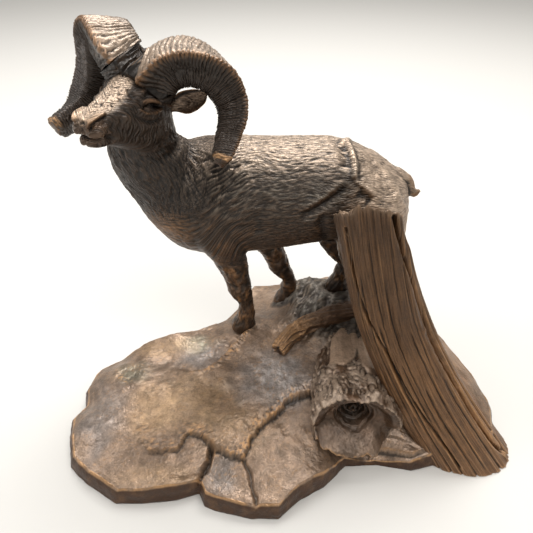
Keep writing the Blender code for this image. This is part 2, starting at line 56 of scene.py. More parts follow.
DARK = np.array([0.011, 0.007, 0.0045])
UMBER = np.array([0.050, 0.028, 0.015])
BROWN = np.array([0.115, 0.060, 0.030])
TAN = np.array([0.25, 0.160, 0.095])
GOLD = np.array([0.42, 0.235, 0.105])
PALE = np.array([0.36, 0.27, 0.20])
SLATE = np.array([0.090, 0.080, 0.066])
MOSS = np.array([0.105, 0.105, 0.075])
ROCK_BROWN = np.array([0.150, 0.098, 0.064])
ROCK_TAN = np.array([0.260, 0.178, 0.122])
SAND = np.array([0.36, 0.235, 0.130])
WALL = np.array([0.044, 0.0156, 0.0035])
WARM = np.array([0.24, 0.120, 0.048])
STEEL = np.array([0.220, 0.200, 0.190])
WOOD_DARK = np.array([0.050, 0.023, 0.009])
WOOD_BROWN = np.array([0.125, 0.062, 0.025])

# patches of the rock's patina: place, size, tone and strength
ROCK_ZONES = [
    ((-62, -22), (34, 24), SAND * 0.85, 0.85),
    ((-84, -28), (18, 20), SAND * 1.1, 0.8),
    ((-30, -42), (26, 16), SAND * 0.75, 0.7),
    ((-5, -8), (30, 24), STEEL * 1.35, 0.9),
    ((-58, 16), (20, 12), STEEL * 1.1, 0.85),
    ((-105, 3), (15, 11), MOSS * 1.5, 0.7),
    ((-62, 26), (16, 9), MOSS * 1.9, 0.7),
    ((-85, 24), (26, 10), SAND * 0.95, 0.7),
    ((-118, -30), (16, 26), STEEL * 1.1, 0.6),
    ((-75, -70), (26, 8), SAND * 0.95, 0.6),
    ((-10, 75), (26, 22), ROCK_TAN * 1.15, 0.8),
    ((5, -55), (18, 24), ROCK_TAN * 0.9, 0.8),
    ((-38, -70), (12, 12), STEEL * 0.8, 0.7),
    ((120, 10), (16, 30), WARM, 0.6),
]


# Numbers


def unit(v):
    return v / np.linalg.norm(v)


def vec(*v):
    return np.array(v, float)


def smooth(low, high, x):
    t = np.clip((x - low) / (high - low), 0, 1)
    return t * t * (3 - 2 * t)


def bell(x, width):
    """A bell-shaped fall from 1 at x = 0."""
    return np.exp(-((x / width) ** 2))


def mix(a, b, share):
    """Blends from a to b, by one share or one for each row."""
    share = np.asarray(share)
    if np.ndim(a) and np.ndim(share) == 1 and (np.ndim(a) == 2 or np.size(a) == 3):
        share = share[:, None]
    return a + (b - a) * share


def noise(points, seed=0):
    """Gradient noise at each point, between about -1 and 1."""
    points = np.asarray(points, float)
    cell = np.floor(points).astype(np.int64)
    part = points - cell
    ease = part**3 * (part * (part * 6 - 15) + 10)
    total = np.zeros(len(points))
    for corner in np.ndindex(2, 2, 2):
        c = cell + np.array(corner)
        h = (c[:, 0] * 73856093) ^ (c[:, 1] * 19349663) ^ (c[:, 2] * 83492791) ^ (seed * 40503 + 977)
        h = (h ^ (h >> 15)) * 2246822519 & 0xFFFFFFFF
        h = (h ^ (h >> 13)) * 3266489917 & 0xFFFFFFFF
        h = h ^ (h >> 16)
        d = part - np.array(corner)
        grad = ((h & 1023) / 511.5 - 1) * d[:, 0]
        grad += (((h >> 10) & 1023) / 511.5 - 1) * d[:, 1]
        grad += (((h >> 20) & 1023) / 511.5 - 1) * d[:, 2]
        weight = np.ones(len(points))
        for axis in range(3):
            weight *= ease[:, axis] if corner[axis] else 1 - ease[:, axis]
        total += grad * weight
    return total * 1.5


def fbm(points, octaves=4, seed=0):
    total, size = 0, 1.0
    for k in range(octaves):
        total = total + noise(points * 2**k, seed + 7 * k) * size
        size *= 0.5
    return total


def flat(u, v, w=0.0):
    """Points for noise from coordinates along a surface."""
    u = np.asarray(u, float)
    return np.stack([u, np.broadcast_to(v, u.shape), np.broadcast_to(w, u.shape)], 1)


def curve(points, steps):
    """Rows on a smooth curve through the given rows."""
    p = np.array(points, float)
    p = np.vstack([2 * p[0] - p[1], p, 2 * p[-1] - p[-2]])
    rows = []
    for a, b, c, d in zip(p, p[1:], p[2:], p[3:]):
        for t in np.arange(steps) / steps:
            square, cube = 2 * a - 5 * b + 4 * c - d, 3 * b - a - 3 * c + d
            rows.append(0.5 * (2 * b + (c - a) * t + square * t**2 + cube * t**3))
    rows.append(p[-2])
    return np.array(rows)


def to_line(points, line):
    """Distance from each point to a polyline, and the share of the way along it of the nearest place."""
    line = np.array(line, float)
    lengths = np.linalg.norm(np.diff(line, axis=0), axis=1)
    best = np.full(len(points), 1e9)
    along = np.zeros(len(points))
    done = 0.0
    for a, b, length in zip(line, line[1:], lengths):
        t = np.clip(((points - a) @ (b - a)) / length**2, 0, 1)
        away = np.linalg.norm(points - (a + t[:, None] * (b - a)), axis=1)
        nearer = away < best
        best[nearer] = away[nearer]
        along[nearer] = done + t[nearer] * length
        done += length
    return best, along / done


# Photograph


def pixel_ray(u, v):
    """Direction through a pixel, from the camera."""
    a, b = (u - HALF) / FOCAL, (v - HALF) / FOCAL
    forward = vec(0, math.cos(PITCH), -math.sin(PITCH))
    down = vec(0, -math.sin(PITCH), -math.cos(PITCH))
    return unit(forward + vec(1, 0, 0) * a + down * b)


def to_pixels(points):
    """Pixel coordinates of points."""
    d = points - CAMERA
    depth = d[:, 1] * math.cos(PITCH) - d[:, 2] * math.sin(PITCH)
    down = -d[:, 1] * math.sin(PITCH) - d[:, 2] * math.cos(PITCH)
    return HALF + FOCAL * d[:, 0] / depth, HALF + FOCAL * down / depth


# Meshes


class Skin:
    """A closed mesh in numbers: points in millimetres and faces as rows of indices."""

    def __init__(self, points, faces):
        self.points = np.array(points, float)
        self.faces = [list(f) for f in faces]
        quads = np.array([f for f in self.faces if len(f) == 4])
        tris = np.array([f for f in self.faces if len(f) == 3])
        pairs = [np.stack([quads[:, k], quads[:, (k + 1) % 4]], 1) for k in range(4)] if len(quads) else []
        pairs += [np.stack([tris[:, k], tris[:, (k + 1) % 3]], 1) for k in range(3)] if len(tris) else []
        pairs = np.unique(np.sort(np.concatenate(pairs), 1), axis=0)
        self.edges = pairs
        self.quads, self.tris = quads, tris
        self.count = np.bincount(pairs.ravel(), minlength=len(self.points))

    def around(self, values):
        """Mean of each point's neighbours."""
        a, b = self.edges.T
        if values.ndim == 1:
            total = np.bincount(a, values[b], len(values)) + np.bincount(b, values[a], len(values))
            return total / self.count
        return np.stack([self.around(values[:, k]) for k in range(values.shape[1])], 1)

    def blur(self, values, rounds):
        for _ in range(rounds):
            values = 0.5 * values + 0.5 * self.around(values)
        return values

    def normals(self):
        p = self.points
        total = np.zeros_like(p)
        for group in (self.quads, self.tris):
            if not len(group):
                continue
            n = np.cross(p[group[:, 2]] - p[group[:, 0]], p[group[:, -1]] - p[group[:, 1]])
            for k in range(group.shape[1]):
                for axis in range(3):
                    total[:, axis] += np.bincount(group[:, k], n[:, axis], len(p))
        return total / (np.linalg.norm(total, axis=1)[:, None] + 1e-12)

    def push(self, amount, normals=None):
        normals = self.normals() if normals is None else normals
        self.points = self.points + normals * np.asarray(amount)[:, None]

    def relief(self, rounds):
        """How far each point stands out of its blurred surroundings."""
        rest = self.blur(self.points, rounds)
        return ((self.points - rest) * self.normals()).sum(1)

    def outward(self):
        """The same skin with its faces turned out."""
        p = self.points - self.points.mean(0)
        volume = 0.0
        for group in (self.quads, self.tris):
            for k in range(1, group.shape[1] - 1):
                volume += (p[group[:, 0]] * np.cross(p[group[:, k]], p[group[:, k + 1]])).sum()
        return self if volume > 0 else Skin(self.points, [f[::-1] for f in self.faces])

    def tree(self):
        return BVHTree.FromPolygons([Vector(p) for p in self.points], self.faces)


PIN_STEPS = 3  # places pinned between one pixel of a line and the next


def pinned(tree, pixels):
    """Places on a surface along a line of pixels, or the nearest to them where a pixel misses it."""
    pixels = curve(pixels, PIN_STEPS) if len(pixels) > 1 else pixels
    hits = [tree.ray_cast(Vector(CAMERA), Vector(pixel_ray(u, v))) for u, v in pixels]
    far = [hit[3] for hit in hits if hit[0] is not None]
    depth = sum(far) / len(far) if far else 300.0
    found = []
    for (u, v), hit in zip(pixels, hits):
        place = hit[0]
        if place is None:
            place = tree.find_nearest(Vector(CAMERA + pixel_ray(u, v) * depth))[0]
        found.append(np.array(place))
    return np.array(found)


def tube_faces(rings, sides):
    index = np.arange(rings * sides).reshape(rings, sides)
    a, b = index[:-1], index[1:]
    quads = np.stack([a, np.roll(a, -1, 1), np.roll(b, -1, 1), b], -1).reshape(-1, 4)
    return quads.tolist()


def tube(rings):
    """Points and faces of a closed tube through rings, an array of rings by sides by three."""
    rings = np.asarray(rings)
    count, sides = rings.shape[:2]
    points = rings.reshape(-1, 3)
    first, last = rings[0].mean(0), rings[-1].mean(0)
    n = len(points)
    points = np.vstack([points, first, last])
    faces = tube_faces(count, sides)
    faces += [[(k + 1) % sides, k, n] for k in range(sides)]
    top = (count - 1) * sides
    faces += [[top + k, top + (k + 1) % sides, n + 1] for k in range(sides)]
    return points, faces


def ring(centre, across, along, half_across, half_along, sides, square=2.0):
    angle = np.arange(sides) * 2 * math.pi / sides
    c, s = np.cos(angle), np.sin(angle)
    u = np.sign(c) * np.abs(c) ** (2 / square) * half_across
    v = np.sign(s) * np.abs(s) ** (2 / square) * half_along
    return centre + u[:, None] * across + v[:, None] * along


def limb(stations, side, steps=4, sides=28, square=2.0):
    """Rings of a tapering limb, from stations of x, y, z and the half widths along side and across it."""
    rows = curve(stations, steps)
    centres = rows[:, :3]
    rings = []
    for k, row in enumerate(rows):
        t = unit(centres[min(k + 1, len(rows) - 1)] - centres[max(k - 1, 0)])
        across = unit(side - t * (side @ t))
        rings.append(ring(row[:3], across, np.cross(t, across) * -1, row[3], row[4], sides, square))
    return np.array(rings)


def fused(name, tubes, voxel, rounds=6):
    """One skin over overlapping tubes, from Blender's voxel remesher."""
    points, faces = [], []
    for rings in tubes:
        p, f = tube(rings)
        faces += [[i + len(points) for i in face] for face in f]
        points += p.tolist()
    mesh = bpy.data.meshes.new(name)
    mesh.from_pydata((np.array(points) * MM).tolist(), [], faces)
    piece = bpy.data.objects.new(name, mesh)
    bpy.context.scene.collection.objects.link(piece)
    bpy.context.view_layer.objects.active = piece
    piece.select_set(True)
    bpy.ops.object.mode_set(mode="EDIT")
    bpy.ops.mesh.select_all(action="SELECT")
    bpy.ops.mesh.normals_make_consistent(inside=False)
    bpy.ops.object.mode_set(mode="OBJECT")
    remesh = piece.modifiers.new("skin", "REMESH")
    remesh.mode = "VOXEL"
    remesh.voxel_size = voxel * MM * 1
    bpy.ops.object.modifier_apply(modifier="skin")
    mesh = piece.data
    co = np.zeros(len(mesh.vertices) * 3)
    mesh.vertices.foreach_get("co", co)
    faces = [list(p.vertices) for p in mesh.polygons]
    bpy.data.objects.remove(piece)
    skin = Skin(co.reshape(-1, 3) / MM, faces)
    skin.points = skin.blur(skin.points, rounds)
    return skin


def finish_piece(name, skin, colour, rough, material, flow=None):
    """Makes the object, with its colour, roughness and flow as attributes of its points."""
    mesh = bpy.data.meshes.new(name)
    mesh.from_pydata(((skin.points - MIDDLE) * MM).tolist(), [], skin.faces)
    mesh.update()
    mesh.shade_smooth()
    tint = mesh.attributes.new("tint", "FLOAT_COLOR", "POINT")
    rgba = np.ones((len(skin.points), 4))
    rgba[:, :3] = np.clip(colour, 0.002, 1)
    tint.data.foreach_set("color", rgba.ravel())
    polish = mesh.attributes.new("polish", "FLOAT", "POINT")
    polish.data.foreach_set("value", np.broadcast_to(rough, len(skin.points)).astype(float).copy())
    if flow is not None:
        way = mesh.attributes.new("flow", "FLOAT_VECTOR", "POINT")
        way.data.foreach_set("vector", np.asarray(flow, float).ravel())
    mesh.materials.append(material)
    piece = bpy.data.objects.new(name, mesh)
    bpy.context.scene.collection.objects.link(piece)
    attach(piece, "root")
    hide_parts("ram_figurine")
    return piece


# Ram

RAM_Y = 50.0
FORE_GROUND, HIND_GROUND = 36, 48  # about where the hooves stand
POLL = vec(-73.5, 33.5, 222.5)
TURN, TILT = math.radians(65), math.radians(3)
FORWARD = vec(-math.cos(TURN), -math.sin(TURN), 0)
LEFT = vec(math.sin(TURN), -math.cos(TURN), 0)
LEFT, UP = (
    LEFT * math.cos(TILT) - vec(0, 0, 1) * math.sin(TILT),
    vec(0, 0, 1) * math.cos(TILT) + LEFT * math.sin(TILT),
)


def on_head(f, l, u):
    return POLL + FORWARD * f + LEFT * l + UP * u


def in_head(points):
    d = points - POLL
    return d @ FORWARD, d @ LEFT, d @ UP


def torso_rings():
    chest, rump, middle, depth, width = -92.0, 77.0, 138.0, 36.0, 28.0
    stations = [
        (0.00, 6, 0.30, 0.32),
        (0.05, 2, 0.56, 0.60),
        (0.14, -3, 0.84, 0.90),
        (0.25, -3, 0.98, 1.05),
        (0.37, -2, 1.00, 1.05),
        (0.49, -1, 1.04, 1.00),
        (0.61, 1, 1.02, 0.95),
        (0.74, 2.5, 0.96, 0.89),
        (0.84, -1, 0.92, 0.80),
        (0.91, -5, 0.86, 0.72),
        (0.97, -8, 0.68, 0.58),
        (1.00, -10, 0.40, 0.36),
    ]
    rings = []
    for share, rise, wide, deep in curve(stations, 4):
        centre = vec(chest + share * (rump - chest), RAM_Y, middle + rise)
        rings.append(ring(centre, vec(0, 1, 0), vec(0, 0, 1), width * wide, depth * deep, 40, 2.2))
    return np.array(rings)


def neck_rings():
    p = POLL
    stations = [
        (-50, RAM_Y, 133, 25, 32),
        (-68, RAM_Y - 2, 148, 22, 27),
        (p[0] - 7, p[1] + 8, p[2] - 53, 19, 21),
        (p[0] - 6, p[1] + 4, p[2] - 38, 16.5, 18),
        (p[0] - 3, p[1] + 1, p[2] - 26, 14, 15),
    ]
    return limb(stations, vec(0, 1, 0), sides=36)


def leg_rings(rows, ground, x, y):
    rows = list(rows)
    rows += [
        (x, y, ground + 19, 5.0, 5.0),
        (x, y, ground + 13.5, 6.1, 6.3),
        (x - 0.5, y, ground + 9, 5.7, 6.0),
        (x - 1.5, y, ground + 5.5, 6.7, 7.6),
        (x - 2.5, y, ground, 7.4, 9.0),
        (x - 2.5, y, ground - 4, 7.4, 9.0),
    ]
    return limb(rows, vec(0, 1, 0), sides=24)


def foreleg_rings(side, x, ground):
    y, top = RAM_Y + side * 15, 138.0
    start = -92 + 52 + 5 * side
    drop = top - 38 - ground
    d = x - start
    rows = [
        (start, y, top + 12, 4, 7),
        (start, y, top + 7, 9, 16),
        (start, y, top - 5, 13.5, 21),
        (start + d * 0.3, y, top - 24, 12.5, 17),
        (start + d * 0.45, y, top - 36, 9.5, 12),
        (start + d * 0.7, y, ground + drop * 0.72, 7.2, 8.6),
        (start + d * 0.82, y, ground + drop * 0.52, 7.4, 7.8),
        (start + d * 0.96, y, ground + drop * 0.38, 5.4, 5.4),
    ]
    return leg_rings(rows, ground, x, y)


def hindleg_rings(side, x, ground):
    y, top = RAM_Y + side * 15, 138.0
    drop = top - 40 - ground
    rows = [
        (51, y, top + 14, 4, 8),
        (51, y, top + 9, 9, 17),
        (52, y, top - 3, 13.5, 22),
        (x - 5, y, top - 24, 12.5, 22),
        (x - 7, y, top - 38, 10, 16),
        (x - 3, y, ground + drop * 0.76, 8, 11.5),
        (x + 4, y, ground + drop * 0.52, 7, 8.5),
        (x + 3, y, ground + drop * 0.34, 5.8, 6.1),
    ]
    return leg_rings(rows, ground, x, y)


def tail_rings():
    s = vec(68, RAM_Y, 152)
    stations = [
        (*s, 5, 4),
        (*(s + vec(8, -1, -4)), 4, 3.4),
        (*(s + vec(11, -1, -11)), 3.4, 2.8),
        (*(s + vec(13.5, -1.5, -14)), 2.6, 2.3),
        (*(s + vec(17, -2, -11)), 1.7, 1.5),
    ]
    return limb(stations, vec(0, 1, 0), sides=16)


def strands(u, v, seed):
    """Hair that runs along u: the heights of its locks, tufts and fine strands, and where each point lies."""
    bend = 2.4 * noise(flat(u / 26, v / 20), seed) + 0.7 * noise(flat(u / 12, v / 6), seed + 1)
    w = v + bend
    locks = noise(flat(u / 12, w / 2.6), seed + 2)
    tufts = 1 - 2.4 * np.abs(noise(flat(u / 8, w / 1.35), seed + 3))
    fine = noise(flat(u / 3.5, w / 1.0), seed + 4)
    return locks, tufts, fine, np.stack([u, w, np.zeros(len(u))], 1)


def stroke(points, tree, pixels, wide, high, fade=0.0):
    """A ridge, or a groove where high is negative, along pixels of the photograph pinned to a surface."""
    away, along = to_line(points, pinned(tree, pixels))
    ends = 1.0 if not fade else smooth(0, fade, along) * smooth(1, 1 - fade, along)
    return high * bell(away, wide) * ends


BODY_STROKES = [
    # pixels, width and height: folds, hip, haunch, shoulder and knee
    ([(296, 218), (306, 215), (318, 208), (330, 199), (342, 190), (351, 182)], 2.6, -1.7, 0.25),
    ([(294, 211), (308, 207), (322, 199), (335, 190), (348, 180)], 2.8, 1.1, 0.25),
    ([(344, 135), (346, 141), (350, 148), (353, 156), (355, 166), (354, 176)], 1.7, 2.3, 0.0),
    ([(339, 139), (343, 147), (347, 158), (348, 170)], 4.2, -1.5, 0.1),
    ([(353, 178), (361, 185), (369, 190), (374, 197)], 1.4, 1.1, 0.1),
    ([(356, 192), (364, 197), (371, 204)], 3.4, -1.3, 0.2),
    ([(364, 142), (376, 151), (388, 160), (397, 168)], 3.4, 0.8, 0.1),
    ([(372, 160), (385, 172), (393, 188), (396, 204)], 3.2, 0.9, 0.1),
    ([(207, 152), (215, 165), (221, 182), (224, 200), (226, 220)], 4.0, -1.5, 0.15),
    ([(236, 168), (242, 186), (245, 206), (243, 228)], 6.0, 1.0, 0.15),
    ([(178, 190), (192, 205), (206, 214), (222, 216)], 5.0, 1.0, 0.15),
    ([(256, 236), (262, 214), (268, 196)], 4.0, -1.0, 0.15),
    ([(326, 240), (322, 225), (326, 213)], 3.0, -1.2, 0.15),
]


def body_coat(p):
    """The coat's height at points of the body, the way it runs, and shares on neck, leg, rump and hoof."""
    x, y, z = p.T
    angle = np.arctan2(y - RAM_Y, z - 137)
    slant = 0.45 * smooth(-10, -60, x) + 0.16
    around_body = angle * 31 + slant * 30 * np.abs(angle)
    locks1, tufts1, fine1, flow1 = strands(x - slant * (z - 140), around_body, 11)
    axis = unit(POLL + vec(-3, 1, -24) - vec(-50, RAM_Y, 131))
    d = p - vec(-50, RAM_Y, 131)
    other = unit(np.cross(axis, vec(0, 1, 0)))
    up_neck = d @ axis
    round_neck = np.arctan2(d @ vec(0, 1, 0), d @ other) * 22
    locks2, tufts2, fine2, flow2 = strands(up_neck * 1.1, round_neck, 31)
    across_leg = np.arctan2(y - RAM_Y - 15 * np.sign(y - RAM_Y), x - np.where(x > 20, 52, -20)) * 7
    locks3, tufts3, fine3, flow3 = strands(z, across_leg, 51)
    on_neck = smooth(4, 24, up_neck) * smooth(-30, -52, x)
    on_leg = smooth(108, 96, z) * smooth(-60, -52, x)
    on_rump = smooth(30, 46, x - 0.25 * (z - 140)) * smooth(98, 108, z)
    coarse = 1 + 0.9 * on_neck
    locks = mix(mix(locks1, locks2, on_neck), locks3 * 0.5, on_leg)
    tufts = mix(mix(tufts1, tufts2, on_neck), tufts3 * 0.5, on_leg)
    fine = mix(mix(fine1, fine2, on_neck), fine3, on_leg)
    height = (0.20 * locks + 0.27 * tufts) * coarse + 0.20 * fine
    height *= 1 - 0.5 * on_rump
    height += on_rump * (0.9 * noise(p / 13, 91) + 0.4 * noise(p / 4, 92))
    shaggy = smooth(26, 8, np.linalg.norm(p - vec(-38, 24, 158), axis=1))
    height += shaggy * (0.45 * tufts1 + 0.6 * locks)
    lumps = 0.7 * noise(p / 7, 93) + 0.35 * noise(p / 2.6, 94)
    height += on_leg * lumps
    hoof = smooth(12, 8, z - FORE_GROUND) * smooth(12, 4, x)
    hoof = hoof + smooth(12, 8, z - HIND_GROUND) * smooth(12, 20, x)
    hoof = np.clip(hoof, 0, 1)
    height *= 1 - hoof * 0.6
    flow = mix(mix(flow1, flow2, on_neck), flow3, on_leg)
    return height, flow, (on_neck, on_leg, on_rump, hoof)


def body_colours(skin, p, regions, hip):
    """Tones of the body by its relief, its regions and the places where it is rubbed, with painted light: a
    sheen on up-facing crests, a highlight along the top of the back, a paler top on the rump and shade under
    the neck.
    """
    x, _, z = p.T
    on_neck, on_leg, on_rump, hoof = regions
    rise, broad = skin.relief(7), skin.relief(45)
    up = skin.normals()[:, 2]
    crest = smooth(-0.12, 0.25, rise)
    colour = mix(DARK * 1.3, UMBER * 1.25, crest)
    # painted sheen: slate grey on crests that face up, standing in for a reflection of the sky
    painted_sheen = (0.62 + 0.45 * noise(p / 12, 74)) * (1 - on_leg) * (1 - 0.6 * on_neck)
    colour = mix(colour, SLATE * 1.8, crest * smooth(-0.1, 0.5, up) * painted_sheen)
    # painted highlight: pale along the top of the back, where it faces up
    painted_back_highlight = smooth(0.5, 0.9, up) * smooth(70, 36, np.abs(x - 6)) * smooth(-0.22, 0.1, rise)
    colour = mix(colour, PALE * 0.95, painted_back_highlight * 0.72)
    belly = smooth(0.0, 0.5, noise(p / 15, 71) + 0.25) * smooth(135, 112, z) * smooth(45, 20, x)
    colour = mix(colour, BROWN * 0.85, belly * smooth(-0.2, 0.3, rise) * 0.9)
    rubbed = smooth(0.25, 0.6, noise(p / 9, 73)) * smooth(140, 118, z) * smooth(-62, -50, x)
    colour = mix(colour, WARM * 0.9, rubbed * smooth(-0.1, 0.3, rise) * (1 - on_rump) * 0.7)
    chest = smooth(24, 8, np.linalg.norm((p - vec(-72, 30, 126)) / vec(1, 1, 0.8), axis=1))
    colour = mix(colour, WARM, chest * smooth(-0.2, 0.3, rise) * 0.7)
    # the rump's own paler tone, paler still where it faces up: real tone with painted top light
    rump_tone = mix(TAN * 0.7, PALE * 0.95, smooth(-0.2, 0.5, up + 0.4 * noise(p / 7, 75)))
    colour = mix(colour, rump_tone, on_rump * smooth(-0.5, 0.2, rise + 0.6 * broad) * 0.9)
    colour = mix(colour, PALE * 1.2, smooth(0.3, 0.8, hip) * 0.8)
    streak = noise(p / vec(3, 3, 11), 72)
    colour = mix(colour, WARM * 0.75, on_leg * smooth(0.2, 0.55, streak + 0.5 * rise) * 0.65)
    colour = mix(colour, GOLD * 0.6, smooth(0.9, 2.0, broad) * (1 - on_leg) * 0.25)
    tail = smooth(72, 80, x) * smooth(125, 135, z)
    colour = mix(colour, WARM, tail * smooth(0.2, 0.8, broad) * 0.6)
    colour = mix(colour, DARK, hoof * 0.5)
    # painted shade: the neck darker where it faces down
    colour = colour * (1 - 0.5 * on_neck * smooth(0.7, 0.2, up))[:, None]
    return colour, 0.40 - 0.08 * smooth(0, 0.5, rise)


def make_body(material):
    tubes = [torso_rings(), neck_rings(), tail_rings()]
    tubes += [foreleg_rings(-1, -25, 37), foreleg_rings(1, 6, 35)]
    tubes += [hindleg_rings(-1, 59, 47), hindleg_rings(1, 45, 49)]
    skin = fused("body", tubes, 0.90, 10)
    tree = skin.tree()
    p = skin.points
    mirror = p * vec(1, -1, 1) + vec(0, 2 * RAM_Y, 0)
    near = smooth(RAM_Y + 8, RAM_Y - 6, p[:, 1])
    amount = np.zeros(len(p))
    for pixels, wide, high, fade in BODY_STROKES:
        amount += near * stroke(p, tree, pixels, wide, high, fade)
        amount += (1 - near) * 0.5 * stroke(mirror, tree, pixels, wide * 1.2, high, fade)
    skin.push(amount)

    p = skin.points
    hip = near * stroke(p, tree, BODY_STROKES[2][0], 1.9, 1.0)
    height, flow, regions = body_coat(p)
    skin.push(height)
    colour, rough = body_colours(skin, p, regions, hip)
    finish_piece("ram_body", skin, colour, rough, material, flow)


HEAD_STROKES = [
    # eye, lids and brow
    ([(146, 107.5), (152, 105.5), (160, 106.5)], 1.25, -3.2),
    ([(143, 102), (151, 100.5), (160, 102.5), (169, 106)], 1.0, 1.5),
    ([(140, 110), (148, 113.5), (156, 112.5), (161, 109)], 0.8, 0.9),
    ([(137, 116), (146, 121.5), (154, 122), (160, 118)], 1.2, -1.2),
    ([(142, 92), (148, 88.5), (157, 90.5), (165, 97)], 1.5, 1.3),
    ([(131, 94), (133, 96)], 1.7, -1.5),
    ([(126, 117), (128, 118)], 1.8, 0.9),
    ([(125, 104), (130, 107), (136, 105)], 1.6, 0.6),
    # nostrils, lips and chin
    ([(105, 117), (98, 121.3), (92.5, 125.2), (89, 129.5)], 0.8, -2.0),
    ([(104, 114), (97.5, 118), (91.5, 122), (87.5, 127)], 0.9, 1.0),
    ([(82, 113), (82.5, 114.5)], 0.8, -1.5),
    ([(82.5, 122), (83, 124)], 0.7, -1.2),
    ([(81, 136.5), (88, 139.5), (95, 141), (102, 140)], 0.9, -2.6),
    ([(102, 140), (108, 138), (114, 139)], 1.8, -1.4),
    ([(82, 129), (80.5, 134), (80, 137)], 0.6, -0.9),
    ([(112, 128), (108, 134), (112, 140)], 1.6, -0.9),
    # cheek and jaw
    ([(120, 128), (130, 135), (142, 137), (154, 134)], 3.0, -0.9),
    ([(114, 106), (120, 100), (127, 92)], 2.0, -0.7),
]
# brow, upper lip, nostril wing and lower lip: places forward, left and up on the head, and two half widths
FACE_LIMBS = [
    [(2, 11.5, -12.5, 3.0, 3.0), (8, 13, -13, 3.4, 3.0), (14, 12.2, -14.5, 3.0, 2.6), (21, 9, -16.5, 1.8, 2)],
    [(36, 6, -21, 2.6, 2.0), (41, 6.4, -20, 3.6, 3.2), (45, 5, -19.7, 3.4, 2.9), (48, 2.6, -20, 2, 1.8)],
    [(38, 4.4, -14.5, 2.4, 2.0), (43.5, 4.6, -14.8, 2.8, 2.4), (47, 3.0, -15.6, 2.2, 1.9)],
    [
        (36, 4.6, -26.5, 1.8, 1.8), (42, 4.2, -26, 2.3, 2.2), (46, 2.2, -25.3, 2.0, 1.9),
        (48, 0.8, -25, 1.3, 1.4),
    ],
]  # fmt: skip
FORELOCK = [
    [(86, 82), (90, 73)], [(92, 79), (96, 69)], [(99, 76), (102, 65)], [(106, 73), (108, 62)],
    [(113, 72), (114, 61)], [(120, 72), (120, 59)], [(127, 71), (126, 58)], [(133, 68), (131, 56)],
    [(138, 66), (136, 54)],
]  # fmt: skip
FACE_PALE = [
    (94, 94), (104, 80), (108, 73), (125, 71), (133, 80), (129, 92), (120, 104), (112, 112), (104, 114),
    (95, 119), (86, 124), (79, 125), (77, 117), (80, 109), (88, 103),
]  # fmt: skip
LIPS = [
    (77, 132), (84, 128), (96, 122), (106, 124), (109, 133), (104, 142), (96, 148), (84, 149), (77, 142),
]  # fmt: skip


def in_pixels(points, polygon, soft):
    """How far inside a polygon of pixels each point is seen: 0 outside, 1 inside, with a soft edge."""
    u, v = to_pixels(points)
    at = np.stack([u, v], 1)
    corners = np.array(polygon, float)
    away, _ = to_line(at, np.vstack([corners, corners[:1]]))
    inside = np.zeros(len(at), bool)
    for (x0, y0), (x1, y1) in zip(corners, np.roll(corners, -1, 0)):
        crosses = (y0 > v) != (y1 > v)
        edge = x0 + (v - y0) * (x1 - x0) / (y1 - y0 + 1e-12)
        inside ^= crosses & (u < edge)
    return smooth(-soft, soft, np.where(inside, away, -away))


